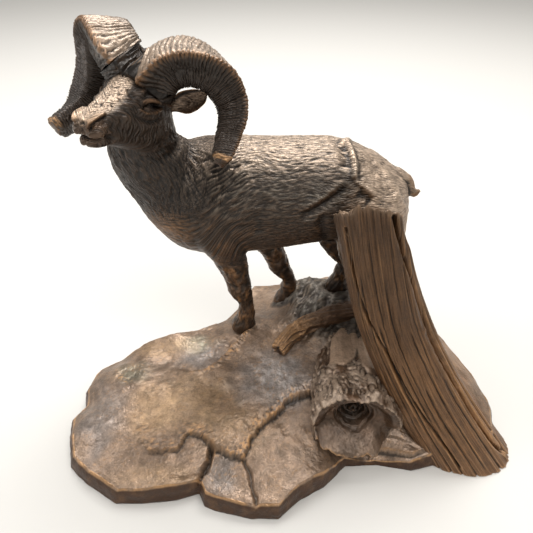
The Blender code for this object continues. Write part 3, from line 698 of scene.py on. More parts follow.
def make_head(material):
    stations = [
        (-0.22, -12, -38, 0.60),
        (-0.06, -4, -48, 0.90),
        (0.12, -2, -47, 1.00),
        (0.30, -4, -42, 1.02),
        (0.48, -7, -37, 0.88),
        (0.66, -10, -32, 0.70),
        (0.82, -12.5, -28.5, 0.56),
        (0.91, -14.0, -27, 0.46),
        (0.96, -16.0, -24, 0.32),
    ]
    rings = []
    for share, top, bottom, wide in curve(stations, 4):
        centre = on_head(share * 50, 0, (top + bottom) / 2)
        rings.append(ring(centre, UP, LEFT, (top - bottom) / 2, 14 * wide, 36, 2.3))
    tubes = [np.array(rings)]
    for side in (1, -1):
        for rows in FACE_LIMBS:
            stations = [(*on_head(f, l * side, u), a, b) for f, l, u, a, b in rows]
            tubes.append(limb(stations, UP, sides=18))
    crown = [(-8, -14, -6, 8, 8), (-5, 0, -5, 9, 8), (-8, 14, -6, 8, 8)]
    tubes.append(limb([(*on_head(f, l, u), a, b) for f, l, u, a, b in crown], UP, sides=24))
    skin = fused("head", tubes, 0.5, 7)
    tree = skin.tree()

    def twin():
        f, l, u = in_head(skin.points)
        return POLL + np.outer(f, FORWARD) + np.outer(np.abs(l), LEFT) + np.outer(u, UP)

    p = twin()
    amount = np.zeros(len(p))
    for pixels, wide, high in HEAD_STROKES:
        amount += stroke(p, tree, pixels, wide, high)
    locks = np.zeros(len(p))
    for pixels in FORELOCK:
        locks = np.maximum(locks, stroke(p, tree, pixels, 1.1, 1.6))
    skin.push(amount + locks)

    p = twin()
    f, l, u = in_head(skin.points)
    pale = in_pixels(p, FACE_PALE, 3.0)
    lips = in_pixels(p, LIPS, 2.0)
    muzzle = smooth(38, 43, f)
    curls = 1 - 2.2 * np.abs(noise(p / 1.9, 5))
    crinkle = noise(p / 1.1, 6)
    locks1, tufts1, fine1, flow = strands(-u * 1.0 - f * 0.35, np.abs(l) * 0.9 + f * 0.95 - u * 0.2, 17)
    hairy = (1 - pale) * (1 - 0.9 * np.maximum(lips, muzzle))
    jowl = smooth(-30, -40, u)
    crown = smooth(-15, -8, u) * smooth(14, 6, f) * smooth(16, 11, np.abs(l))
    height = hairy * (0.24 * tufts1 + 0.34 * locks1 + 0.2 * fine1) * (1 + 0.8 * jowl + 1.4 * crown)
    height += pale * (1 - muzzle) * (0.34 * curls + 0.34 * crinkle)
    height += muzzle * 0.08 * crinkle
    skin.push(height)
    rise, broad = skin.relief(7), skin.relief(40)
    up = skin.normals() @ UP
    colour = mix(DARK, UMBER, smooth(-0.25, 0.3, rise))
    colour = mix(colour, BROWN * 0.8, smooth(0.1, 0.45, rise) * (0.7 - 0.4 * crown))
    # the face's pale tan, kept to where it faces up: real tone with painted top light
    colour = mix(colour, PALE * 1.0, pale * smooth(-0.3, 0.15, rise) * smooth(-0.1, 0.6, up))
    colour = mix(colour, GOLD * 0.8, pale * muzzle * smooth(-0.1, 0.5, rise + 0.5 * broad) * 0.45)
    colour = mix(colour, UMBER * 1.2, lips * 0.85)
    # painted highlight: a slate glint on the lips where they bulge and face up
    colour = mix(colour, SLATE * 1.3, lips * smooth(0.3, 0.9, broad) * smooth(0.0, 0.6, up) * 0.8)
    colour = mix(colour, WARM * 0.7, (1 - pale) * smooth(0.6, 1.4, broad + rise) * 0.4)
    colour = mix(colour, BROWN * 1.1, smooth(0.3, 1.2, locks) * smooth(-0.1, 0.3, rise) * 0.6)
    colour = mix(colour, DARK * 0.8, smooth(-0.12, -0.7, rise + 0.25 * broad))
    colour = colour * (0.8 + 0.2 * np.maximum(pale, muzzle) - 0.25 * crown)[:, None]
    rough = 0.42 - 0.12 * lips - 0.04 * muzzle + 0.12 * crown
    finish_piece("ram_head", skin, colour, rough, material, flow)


def make_ear(side, material):
    """A cupped, leaf-shaped ear, open forwards, with a rolled rim."""
    root, tip = on_head(-8, 8 * side, -25.5), on_head(-10.5, 31 * side, -14.2)
    axis = unit(tip - root)
    wide = unit(UP - axis * (UP @ axis))
    face = np.cross(axis, wide)
    face *= np.sign(face @ FORWARD)
    sides, count = 64, 48
    length = np.linalg.norm(tip - root)
    angle = np.arange(sides) * 2 * math.pi / sides
    c, s = np.cos(angle), np.sin(angle)
    rings = []
    for t in np.linspace(0, 1, count):
        half = 6.0 * (0.42 + 0.58 * smooth(0, 0.55, t)) * max(0.0, 1 - t**4.5) ** 0.5 + 0.12
        opening = smooth(0.1, 0.45, t)
        cup = (4.6 * c**2 - 2.0) * opening * half / 6.0
        roll = 0.5 * bell(np.abs(c) - 0.93, 0.08) * opening
        thick = (0.75 + 1.8 * (1 - t) ** 3) * (1 - 0.35 * np.abs(c)) + roll
        spot = wide * (c * half)[:, None] + face * (cup + s * thick)[:, None]
        rings.append(root + axis * (t * length) + spot)
    skin = Skin(*tube(rings)).outward()
    p = skin.points
    hair = noise(p @ np.stack([axis / 5, wide / 1.3, face / 1.3], 1), 3)
    skin.push(0.18 * hair)
    rise = skin.relief(6)
    c = np.concatenate([np.tile(c, count), [0, 0]])
    front = smooth(0.0, 0.6, skin.normals() @ face)
    colour = mix(UMBER, BROWN, smooth(-0.25, 0.2, rise))
    colour = mix(colour, PALE * 0.7, front * smooth(0.85, 0.5, np.abs(c)) * smooth(-0.3, 0.2, rise) * 0.8)
    # painted shadow: a dark arc inside the cup, under the upper rim
    colour = mix(colour, DARK, front * smooth(0.45, 0.65, c) * smooth(0.93, 0.84, c))
    colour = mix(colour, WARM, smooth(0.88, 0.96, np.abs(c)) * 0.7)
    finish_piece("ear_left" if side > 0 else "ear_right", skin, colour, 0.42, material, p)


HORN_PATHS = {
    1: [
        (-1, 4, -13), (4.5, 12, -3.5), (0.5, 19, 2), (-5, 28, 2.5), (-10.5, 37, -3),
        (-14, 43, -14.5), (-11.5, 46, -24), (-4.5, 47, -31.5), (10, 50.5, -38.5),
    ],
    -1: [
        (-1, 4, -13), (3.5, 12, 0.5), (0.5, 19, 5.5), (-5, 27, 7), (-8.5, 35, 1),
        (-10, 40.5, -14.5), (-6.5, 44, -25), (2, 46, -34), (18, 50.5, -40),
    ],
}  # fmt: skip
# direction in degrees and distance of each side of the horn's section
HORN_FACES = ((90, 0.77), (-18, 0.80), (200, 0.90), (268, 1.06))
HORN_CRISPNESS = 6  # of the edges between them
HORN_TWIST = {1: 18, -1: 6}  # degrees that the outer face turns forwards over the base and the top
KEEL = math.radians(37)  # where the broad outer face meets the outward side
FAR_HORN_PALE = [
    (84, 15), (108, 14), (124, 26), (135, 42), (137, 48), (124, 52), (113, 56), (102, 60), (95, 55), (94, 42),
    (90, 29), (83, 18),
]  # fmt: skip


def horn_reach(angle):
    """The horn's rounded three-sided section, as a share of its half width."""
    total = 0.0
    for direction, distance in HORN_FACES:
        total = total + np.maximum(0, np.cos(angle - math.radians(direction)) / distance) ** HORN_CRISPNESS
    return total ** (-1 / HORN_CRISPNESS)


def make_horn(side, material):
    path = curve([on_head(f, l * side, u) for f, l, u in HORN_PATHS[side]], 44)
    length = np.concatenate([[0], np.cumsum(np.linalg.norm(np.diff(path, axis=0), axis=1))])
    count, sides = ((380, 152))
    where = np.linspace(0, length[-1], count)
    path = np.stack([np.interp(where, length, path[:, k]) for k in range(3)], 1)
    for _ in range(12):
        path[1:-1] = (path[:-2] + path[2:]) / 2
    middle = on_head(0, 32 * side, -20)
    angle = np.arange(sides) * 2 * math.pi / sides
    rings = []
    for k, centre in enumerate(path):
        share = where[k] / length[-1]
        t = unit(path[min(k + 1, count - 1)] - path[max(k - 1, 0)])
        out = centre - middle
        out = unit(out - t * (out @ t))
        across = np.cross(t, out)
        across *= np.sign(across @ LEFT) * side
        taper = max(0.0, share - 0.3) / 0.7
        tip_width = 9.0 if side > 0 else 12.0
        half = 0.5 * (22.5 + (tip_width - 22.5) * taper**1.15)
        twist = math.radians(HORN_TWIST[side]) * smooth(0.62, 0.3, share)
        reach = half * horn_reach(angle) * (0.72 + 0.28 * smooth(1.0, 0.985, share))
        flat_side = across * math.cos(twist) - out * math.sin(twist)
        broad_side = out * math.cos(twist) + across * math.sin(twist)
        spot = np.outer(np.cos(angle), flat_side) + np.outer(np.sin(angle), broad_side)
        rings.append(centre + spot * reach[:, None])
    skin = Skin(*tube(rings)).outward()
    s = np.concatenate([np.repeat(where, sides), [where[0], where[-1]]])
    a = np.concatenate([np.tile(angle, count), [0, 0]])
    around = np.stack([np.cos(a), np.sin(a)], 1)
    broad_face = smooth(KEEL - 0.05, KEEL + 0.12, a) * smooth(math.radians(156), math.radians(142), a)
    # growth rings: crowded ridges that waver and break, in bands between deeper grooves
    w = s + 1.5 * np.cos(a - 0.9) + 0.6 * noise(flat(around[:, 0] * 1.3, around[:, 1] * 1.3, s / 14), 3)
    w = w + 0.35 * noise(flat(around[:, 0] * 4, around[:, 1] * 4, s / 6), 4)
    step = mix(1.5, 1.9, broad_face)
    phase = 2 * math.pi * w / step + 1.5 * noise(flat(w / 6, around[:, 0] * 0.8, around[:, 1] * 0.8), 8)
    ridge = np.abs(np.sin(phase / 2)) ** 0.7 * 2 - 1.2
    strength = 0.75 + 0.8 * noise(flat(w / 2.2, around[:, 0] * 2.2, around[:, 1] * 2.2), 9)
    year = bell(np.sin(math.pi * w / 8.5 + 1.4 * noise(flat(w / 15, 0.7), 10)), 0.16)
    nicks = noise(flat(w / 0.9, around[:, 0] * 6, around[:, 1] * 6), 5)
    height = 0.46 * ridge * strength + 0.26 * nicks - 0.45 * year
    hollow = np.abs(np.arctan2(np.sin(a + math.radians(10)), np.cos(a + math.radians(10))))
    height -= 0.7 * smooth(0.75, 0.0, hollow) * smooth(0.95, 0.6, s / length[-1])
    tip = smooth(0.965, 0.99, s / length[-1])
    height = height * (1 - 0.7 * tip) + tip * 0.5 * noise(skin.points / 2.6, 14)
    height[-2:] = 0
    skin.push(height)
    rise = skin.relief(6)
    up = skin.normals()[:, 2]
    colour = mix(DARK, UMBER * 0.8, smooth(-0.2, 0.25, rise))
    colour = mix(colour, BROWN * 0.8, smooth(0.15, 0.45, rise) * 0.7)
    # the broad face's pale tone, kept mostly to where it faces up: real tone with painted top light
    pale_face_and_top_light = broad_face * smooth(-0.4, 0.3, up) * smooth(0.66, 0.5, s / length[-1]) * smooth(4, 16, s)
    if side < 0:
        to_camera = CAMERA - skin.points
        facing = (to_camera * skin.normals()).sum(1) / np.linalg.norm(to_camera, axis=1)
        pale_face_and_top_light = 0.6 * pale_face_and_top_light + in_pixels(skin.points, FAR_HORN_PALE, 2.0) * smooth(0.05, 0.35, facing)
        pale_face_and_top_light = np.minimum(pale_face_and_top_light, 1)
    colour = mix(colour, PALE * (0.9 if side > 0 else 0.78), pale_face_and_top_light * smooth(-0.3, 0.1, rise) * 0.92)
    # painted highlight: slate grey on up-facing crests away from the pale face
    colour = mix(colour, SLATE * 1.2, (1 - pale_face_and_top_light) * smooth(0.1, 0.45, rise) * smooth(0.1, 0.7, up) * 0.4)
    # painted shade: dark under the arch, where the faces turn down
    colour = mix(colour, DARK * 1.2, smooth(0.15, -0.5, up) * smooth(0.9, 0.6, s / length[-1]) * 0.7)
    keel = bell(a - KEEL, 0.16)
    colour = mix(colour, WARM * 0.9, keel * smooth(-0.15, 0.2, rise) * 0.7)
    lit = smooth(-0.3, 0.6, up + 0.3 * noise(skin.points / 3, 15))
    colour = mix(colour, GOLD, tip * smooth(-0.3, 0.2, rise) * lit)
    flow = np.stack([s, a * 7, 0 * s], 1)
    finish_piece("horn_left" if side > 0 else "horn_right", skin, colour, 0.38, material, flow)


# Rock

OUTLINE = [
    (-140, -39, -2), (-135, -56, -2), (-122, -67, -1), (-101, -79, -2), (-86, -79, -1),
    (-65, -77, 1), (-52, -73, 1), (-48, -81, 0), (-35, -85, -1), (-20, -88, -1),
    (-4, -88, 1), (9, -77, 1), (24, -69, 1), (39, -55, -7), (59, -54, -7),
    (80, -58, -3), (97, -54, -2), (120, -51, 0), (137, -42, 2), (142, -22, 3),
    (139, 2, 3), (132, 17, 6), (124, 33, 10), (108, 60, 12), (83, 89, 12),
    (51, 109, 12), (34, 106, 12), (4, 98, 12), (-22, 96, 11), (-35, 65, 11),
    (-44, 54, 11), (-67, 42, 11), (-83, 37, 11), (-103, 34, 6), (-122, 21, 0),
    (-135, 13, -1), (-140, -4, -2), (-136, -18, -3), (-142, -29, -2),
]  # fmt: skip
CENTRE = vec(0, 8)
RIM = 14.0  # height of the wall, to which the outline's third column is added
SHOULDER = 0.965  # share of the outline at which the top starts to round into the wall
RASTER_LOW, RASTER_SIZE = vec(-147, -93), vec(294, 210)

# heights of the worn top at places on its plan, before its edges are broken down
GROUND = [
    (-128, -35, 17), (-125, -8, 19), (-115, 8, 21), (-104, 20, 21.5), (-85, 28, 23), (-70, 10, 24),
    (-88, -5, 24), (-90, -30, 24.5), (-75, -45, 25), (-60, -30, 26), (-48, -38, 26), (-40, -20, 27),
    (-33, -50, 25), (-20, -35, 27.5), (-5, -20, 30), (10, -14, 32.5), (20, -10, 34), (-50, -5, 29),
    (-40, 8, 32.5), (-30, 20, 36.5), (-20, 8, 32), (-5, 0, 32), (8, 0, 34), (-27, 31, 37.5), (-10, 45, 37),
    (0, 25, 38.5), (15, 25, 41), (30, 20, 43), (42, 30, 46), (3, 62, 36), (-25, 55, 30), (-12, 85, 25),
    (8, 90, 25.5), (33, 97, 26.5), (20, 62, 49), (40, 58, 49), (60, 50, 48), (84, 44, 42), (48, 78, 44),
    (14, 74, 47), (70, 70, 42), (96, 62, 28), (118, 34, 25), (60, 10, 44), (86, 12, 42), (112, 4, 32),
    (126, -14, 24), (100, -24, 30), (84, -36, 21), (60, -20, 32), (40, 0, 38), (25, -40, 24), (10, -50, 23),
]  # fmt: skip

# broken edges: x, y and how far the ground on the right of the way drops there
PLATEAU_EDGE = [
    (-103, -13, 0), (-98, -36, 0.4), (-91, -48, 1), (-81, -57, 2.2), (-66, -55, 3), (-59, -45, 3.5),
    (-52, -46, 4.5), (-44, -54, 4.5), (-35, -58, 4), (-25, -61, 3.5), (-20, -50, 3.5), (-14, -41, 4),
    (-7, -35, 4.5), (2, -26, 5.5), (11, -21, 6.5), (20, -22, 5), (27, -25, 2),
]  # fmt: skip
BOWL_EDGE = [
    (-20, 37, 0), (-28, 27, 5), (-33, 19, 9), (-40, 12, 9), (-46, 5, 7), (-54, 0, 4), (-64, 1, 2),
    (-74, 5, 0),
]  # fmt: skip
SLAB_LEDGE = [(44, -46, 0), (52, -48, 3.5), (66, -49, 4), (80, -53, 3.5), (92, -50, 0)]
SLAB_SPLIT = [(-44, -54, 0), (-47, -62, 0), (-50, -68, 0), (-51, -76, 0)]
SLAB_CRACK = [(-25, -61, 0), (-20, -71, 0), (-17, -80, 0), (-16, -90, 0)]


def outline_at(theta):
    """Radius of the rock's outline at angles about its centre."""
    d = np.array(OUTLINE, float)[:, :2] - CENTRE
    a = np.arctan2(d[:, 1], d[:, 0]) % (2 * math.pi)
    order = np.argsort(a)
    a, d = a[order], d[order]
    a = np.concatenate([a[-1:] - 2 * math.pi, a, a[:1] + 2 * math.pi])
    d = np.vstack([d[-1:], d, d[:1]])
    theta = theta % (2 * math.pi)
    k = np.clip(np.searchsorted(a, theta) - 1, 0, len(a) - 2)
    p0, edge = d[k], d[k + 1] - d[k]
    ray = np.stack([np.cos(theta), np.sin(theta)], 1)
    reach = p0[:, 0] * edge[:, 1] - p0[:, 1] * edge[:, 0]
    return reach / (ray[:, 0] * edge[:, 1] - ray[:, 1] * edge[:, 0])


def thin_plate(places):
    """A smooth surface through places given as x, y and height."""
    rows = np.array(places, float)
    q, h = rows[:, :2] / 100, rows[:, 2]
    n = len(rows)

    def kernel(r):
        return np.where(r > 1e-9, r * r * np.log(r + 1e-12), 0)

    a = np.zeros((n + 3, n + 3))
    a[:n, :n] = kernel(np.linalg.norm(q[:, None] - q[None], axis=2)) + np.eye(n) * 0.004
    a[:n, n:] = np.column_stack([np.ones(n), q])
    a[n:, :n] = a[:n, n:].T
    w = np.linalg.solve(a, np.concatenate([h, [0, 0, 0]]))

    def height(xy):
        xy = np.asarray(xy, float) / 100
        out = w[n] + xy @ w[n + 1 :]
        for k in range(n):
            out = out + w[k] * kernel(np.linalg.norm(xy - q[k], axis=1))
        return out

    return height


def beside(xy, line):
    """Distance from a polyline, negative on the right of its way, and its third column thereabouts."""
    line = np.array(line, float)
    aways, sides, thirds = [], [], []
    for a, b in zip(line, line[1:]):
        way = (b - a)[:2]
        t = np.clip(((xy - a[:2]) @ way) / (way @ way), 0, 1)
        off = xy - (a[:2] + t[:, None] * way)
        aways.append(np.linalg.norm(off, axis=1))
        sides.append(np.sign(way[0] * off[:, 1] - way[1] * off[:, 0]))
        thirds.append(a[2] + t * (b[2] - a[2]))
    aways, sides, thirds = np.array(aways), np.array(sides), np.array(thirds)
    nearest = aways.argmin(0)
    pick = np.arange(len(xy))
    weight = np.exp(-(aways - aways.min(0)) / 3)
    return aways[nearest, pick] * sides[nearest, pick], (thirds * weight).sum(0) / weight.sum(0)


class Raster:
    """Values on a square grid over the rock's plan."""

    def __init__(self, step):
        self.step = step
        self.low = RASTER_LOW
        self.shape = (int(RASTER_SIZE[0] / step), int(RASTER_SIZE[1] / step))
        i, j = np.meshgrid(np.arange(self.shape[0]), np.arange(self.shape[1]), indexing="ij")
        self.places = self.low + np.column_stack([i.ravel(), j.ravel()]) * step

    def blur(self, values, width):
        """Gaussian blur, width in millimetres."""
        grid = values.reshape(self.shape)
        half = int(3 * width / self.step) + 1
        kernel = np.exp(-0.5 * (np.arange(-half, half + 1) * self.step / width) ** 2)
        kernel /= kernel.sum()
        for _ in range(2):
            padded = np.pad(grid, ((half, half), (0, 0)), mode="edge")
            size = grid.shape[0]
            grid = sum(kernel[k] * padded[k : k + size] for k in range(2 * half + 1)).T
        return grid.ravel()

    def at(self, xy, values):
        grid = values.reshape(self.shape)
        p = (xy - self.low) / self.step
        i = np.clip(p[:, 0].astype(int), 0, self.shape[0] - 2)
        j = np.clip(p[:, 1].astype(int), 0, self.shape[1] - 2)
        s, t = p[:, 0] - i, p[:, 1] - j
        low = grid[i, j] * (1 - s) + grid[i + 1, j] * s
        high = grid[i, j + 1] * (1 - s) + grid[i + 1, j + 1] * s
        return low * (1 - t) + high * t


def planes(xy, scale, seed):
    """Heights that change along straight creases between flat triangles."""
    p = np.column_stack([xy[:, 0] + 0.5 * xy[:, 1], 0.87 * xy[:, 1] - 0.1 * xy[:, 0]]) / scale
    cell = np.floor(p)
    s, t = (p - cell).T

    def corner(i, j):
        return noise(flat((cell[:, 0] + i) * 0.71 + 0.3, (cell[:, 1] + j) * 0.67 + 0.2), seed)

    low = corner(0, 0) + s * (corner(1, 0) - corner(0, 0)) + t * (corner(0, 1) - corner(0, 0))
    high = corner(1, 1) + (1 - s) * (corner(0, 1) - corner(1, 1)) + (1 - t) * (corner(1, 0) - corner(1, 1))
    return np.where(s + t < 1, low, high)


def level(xy, *seeds):
    """Noise over the plan, for each scale and seed."""
    return [noise(np.column_stack([xy / scale, np.zeros(len(xy))]), seed) for scale, seed in seeds]


def rock_heights(raster):
    """The rock's top: worn ground, broken edges, cracks, crumbs and bark-like summit."""
    xy = raster.places
    a, b, c, d = level(xy, (7, 21), (7, 22), (2.6, 23), (2.6, 24))
    bent = xy + np.column_stack([1.6 * a + 0.6 * c, 1.6 * b + 0.6 * d])
    off = xy - CENTRE
    share = np.linalg.norm(off, axis=1) / outline_at(np.arctan2(off[:, 1], off[:, 0]))
    rim_places = [
        (CENTRE[0] + (x - CENTRE[0]) * SHOULDER, CENTRE[1] + (y - CENTRE[1]) * SHOULDER, RIM + rise)
        for x, y, rise in OUTLINE
    ]
    z = thin_plate(GROUND + rim_places)(xy)
    inner = smooth(SHOULDER, 0.87, share)
    front, drop = beside(bent, PLATEAU_EDGE)
    z -= drop * smooth(0.9, -0.9, front) * np.exp(-np.maximum(-front, 0) / 70) * (0.25 + 0.75 * inner)
    bowl, deep = beside(bent, BOWL_EDGE)
    z -= deep * smooth(0.8, -0.8, bowl) * np.exp(-np.maximum(-bowl, 0) / 15)
    z += 0.22 * deep * bell(bowl - 1.8, 2.2)
    ledge, step = beside(bent, SLAB_LEDGE)
    z -= step * smooth(0.7, -0.7, ledge)
    pit = np.linalg.norm(bent - vec(-107, 1), axis=1)
    z -= 1.8 * smooth(12, 2.0, pit)
    split, _ = beside(bent, SLAB_SPLIT)
    z -= 5.0 * bell(split, 1.5) + 1.2 * smooth(0.6, -0.6, split) * np.exp(-np.abs(split) / 8)
    crack, _ = beside(bent, SLAB_CRACK)
    z -= 2.4 * bell(crack, 1.1)
    edges = bell(np.maximum(0, np.abs(front - 1.6) - 1.6), 2.6) * smooth(0.6, 3, drop)
    by_bowl = bell(np.maximum(0, np.abs(bowl - 2) - 1.5), 2.4) * smooth(1, 4, deep)
    crumbs = np.maximum(edges, by_bowl)
    on_left = 0.9 * bell(front - 5, 5) * smooth(-60, -75, xy[:, 0]) * smooth(-25, -40, xy[:, 1])
    crumbs = np.maximum(crumbs, on_left)
    crumbs = np.maximum(crumbs, 0.8 * smooth(10, 7, pit) * smooth(2, 5, pit))
    summit = smooth(38, 44, z) * smooth(95, 80, xy[:, 0])
    broad = level(xy, (26, 41), (11, 42), (5, 43))
    z += 0.8 * broad[0] + 0.35 * broad[1] + 0.2 * broad[2]
    z += 3.0 * planes(bent, 21, 32) + 0.8 * planes(bent, 9, 33)
    grain = level(xy, (2.3, 44), (1.3, 45), (3.6, 46))
    z += crumbs * (0.5 * grain[0] + 0.5 * grain[1] + 0.6 * grain[2])
    z += 0.07 * grain[1] + 0.05 * grain[0]
    bead = np.linalg.norm((xy - vec(-36, -46)) / vec(14, 9), axis=1)
    z += 0.9 * smooth(0.35, 0.6, level(xy, (2.4, 49))[0]) * smooth(1.2, 0.6, bead)
    lean = xy @ np.array([[0.5, 0.87], [-0.87, 0.5]]).T
    streak = noise(np.column_stack([lean[:, 0] / 9, lean[:, 1] / 2.3, 0 * z]), 47)
    lump = noise(np.column_stack([lean[:, 0] / 16, lean[:, 1] / 7, 0 * z]), 48)
    z += summit * (2.6 * lump + 2.0 * (0.4 - np.abs(streak)) * 2 + 0.7 * grain[0] + 0.45 * grain[1])
    heap = np.linalg.norm((bent - vec(5, 62)) / vec(13, 9), axis=1)
    z += smooth(1.0, 0.35, heap) * (3.0 + 1.2 * grain[0] + 0.8 * grain[2])
    summit = np.maximum(summit, smooth(1.1, 0.8, heap))
    return z, crumbs, summit


# steps down the wall: share of the outline and of the rim's height
ROCK_WALL = [
    (0.9685, 0.985), (0.973, 0.94), (0.978, 0.86), (0.983, 0.76), (0.987, 0.64), (0.990, 0.52),
    (0.993, 0.40), (0.995, 0.28), (0.997, 0.16), (0.998, 0.07), (0.996, 0.0),
]  # fmt: skip


def rock_skin(raster, z):
    """The closed rock, and marks on its points: 1 on the top, on the wall with the rim, and on the rim."""
    angles = 660
    turn = np.linspace(0, 2 * math.pi, 4001)
    # more rays on the left and in front, where the detail is
    weight = 1 + 2.4 * smooth(1.0, 2.8, turn) * smooth(6.28, 5.9, turn)
    passed = np.concatenate([[0], np.cumsum((weight[1:] + weight[:-1]) / 2)])
    theta = np.interp(np.arange(angles) / angles * passed[-1], passed, turn)
    radius = outline_at(theta) + 0.35 * fbm(flat(np.cos(theta) * 9, np.sin(theta) * 9), 3, 2)
    rays = np.stack([np.cos(theta), np.sin(theta)], 1)
    inwards = np.linspace(1, 0, 118) ** 1.35
    tops = np.concatenate([[0.008], SHOULDER - (SHOULDER - 0.03) * inwards])
    rows = [np.column_stack([CENTRE + rays * (radius * t)[:, None], np.zeros(angles)]) for t in tops]
    for t in [t for t, _ in ROCK_WALL] + [0.7, 0.35, 0.02]:
        rows.append(np.column_stack([CENTRE + rays * (radius * t)[:, None], np.zeros(angles)]))
    skin = Skin(*tube(rows))
    top_count = len(tops) * angles
    low = (len(tops) + len(ROCK_WALL) - 1) * angles
    skin.points[:top_count, 2] = raster.at(skin.points[:top_count, :2], z)
    skin.points[-2, 2] = skin.points[:angles, 2].mean()
    rim = skin.points[top_count - angles : top_count, 2]
    for k, (_, share) in enumerate(ROCK_WALL):
        skin.points[top_count + k * angles : top_count + (k + 1) * angles, 2] = rim * share
    if skin.normals()[angles * 10 : angles * 11, 2].mean() < 0:
        skin = Skin(skin.points, [f[::-1] for f in skin.faces])
    p = skin.points
    side = np.zeros(len(p))
    side[top_count - angles : low + angles] = 1
    chip = -1.1 * np.abs(noise(p / vec(16, 16, 9), 51)) + 0.35 * noise(p / 5, 52)
    chip = chip + 0.16 * noise(p / 2, 53) + 0.2
    skin.push(chip * side * smooth(0.0, 2.5, p[:, 2]))
    skin.points[:, 2] = np.maximum(skin.points[:, 2], 0)
    skin.points[low:-2, 2] = 0
    skin.points[-1, 2] = 0
    top, edge = np.zeros(len(p)), np.zeros(len(p))
    top[:top_count] = 1
    top[-2] = 1
    edge[top_count - angles : top_count + 2 * angles] = 1
    return skin, top, side, edge


def rock_colours(p, raster, heights, top, side, edge):
    """Patina in patches, worn gold on what stands out, dark in what lies deep, dark walls."""
    z, crumbs, summit = heights
    xy = p[:, :2]
    fine = np.where(top > 0, raster.at(xy, z - raster.blur(z, 1.0)), 0)
    wide = np.where(top > 0, raster.at(xy, z - raster.blur(z, 4.0)), 0)
    bark = np.where(top > 0, raster.at(xy, summit), 0)
    crumbly = np.where(top > 0, raster.at(xy, crumbs), 0)
    big, mid, small = level(xy, (30, 61), (11, 62), (3.5, 63))
    colour = mix(ROCK_BROWN, ROCK_TAN, smooth(-0.5, 0.6, 0.6 * big + 0.5 * mid + 0.2 * small))
    for place, size, tone, strength in ROCK_ZONES:
        away = np.linalg.norm((xy - vec(*place)) / vec(*size), axis=1) + 0.35 * mid + 0.15 * small
        colour = mix(colour, tone, smooth(1.3, 0.3, away) * strength * (0.75 + 0.5 * small))
    mottle = noise(p / 4.5, 67) + 0.6 * noise(p / 1.8, 68)
    colour = colour * (1 + 0.30 * np.clip(mottle, -1, 1))[:, None]
    speck = smooth(0.2, 0.55, noise(p / 1.5, 64)) * smooth(-0.1, 0.4, mid + 0.2 + 0.4 * noise(p / 6, 69))
    colour = mix(colour, GOLD * 0.75, speck * 0.45 * top)
    plates = np.maximum(in_pixels(p, LEFT_PLATE, 2.0), in_pixels(p, RIGHT_PLATE, 2.0)) * top
    colour = mix(colour, ROCK_TAN * 1.6, plates * 0.8)
    colour = mix(colour, mix(DARK * 1.5, SLATE * 1.1, smooth(-0.3, 0.5, fine + 0.4 * wide)), bark * 0.9)
    patchy = smooth(-0.3, 0.4, noise(p / 8, 70) + 0.5 * noise(p / 2.5, 71))
    colour = mix(colour, GOLD * 0.9, smooth(0.2, 0.8, fine) * patchy * (0.55 - 0.3 * bark))
    crumb = noise(p / 1.9, 77) + 0.7 * noise(p / 1.1, 78) + 0.6 * np.clip(fine, -0.5, 0.5)
    crumbly = crumbly * (1 - bark) * smooth(-0.45, 0.35, noise(p / 9, 76) + 0.5 * noise(p / 3.5, 79))
    colour = mix(colour, GOLD * 1.1, crumbly * smooth(0.05, 0.5, crumb) * 0.8)
    colour = mix(colour, UMBER * 1.2, crumbly * smooth(0.0, -0.5, crumb) * 0.75)
    colour = mix(colour, DARK, smooth(-0.2, -0.9, fine + 0.15 * wide) * 0.8)
    colour = mix(colour, GOLD, edge * smooth(-0.6, 0.2, noise(p / 6, 65)) * 0.8)
    walls = side * (1 - edge)
    colour = mix(colour, WALL, walls * 0.95)
    colour = mix(colour, WARM * 0.7, walls * smooth(0.1, 0.6, noise(p / 5, 66)) * 0.35)
    rough = 0.34 + 0.16 * crumbly + 0.18 * bark + 0.16 * walls
    return colour, rough


def make_rock(material):
    raster = Raster(0.5)
    heights = rock_heights(raster)
    skin, top, side, edge = rock_skin(raster, heights[0])
    colour, rough = rock_colours(skin.points, raster, heights, top, side, edge)
    finish_piece("rock", skin, colour, rough, material, skin.points)


# Wood

TRUNK_TOP, TRUNK_FOOT = vec(47, 11, 145), vec(119, -38, 0)
TRUNK_LENGTH = 187.0
TRUNK_FALL = (-0.4, -0.74)  # slope of the broken end, to the right and to the back

# the trunk's two long splits: pixels along each, its width and depth
SPLITS = [
    (
        [(394, 212), (397, 226), (403, 247), (412, 277), (430, 331), (456, 385), (489, 437), (503, 451)],
        1.3, 6.0,
    ),
    ([(345, 229), (349, 256), (364, 310), (386, 352), (412, 400), (448, 451), (460, 468)], 0.65, 2.6),
]  # fmt: skip
# its straight cracks: direction in degrees, start and end along it, width and depth
CRACKS = [
    (201, 6, 150, 0.6, 1.8), (213, 30, 190, 0.5, 1.6), (228, 60, 190, 0.6, 2.0), (236, 12, 90, 0.45, 1.1),
    (243, 84, 190, 0.5, 1.6), (252, 34, 150, 0.45, 1.2), (262, 100, 190, 0.6, 1.8), (270, 4, 60, 0.4, 0.9),
    (277, 60, 175, 0.5, 1.4), (287, 20, 110, 0.4, 1.0), (296, 96, 190, 0.6, 2.0), (304, 30, 120, 0.45, 1.1),
    (322, 20, 190, 0.6, 1.8), (334, 50, 160, 0.5, 1.3), (345, 10, 120, 0.5, 1.3),
]  # fmt: skip


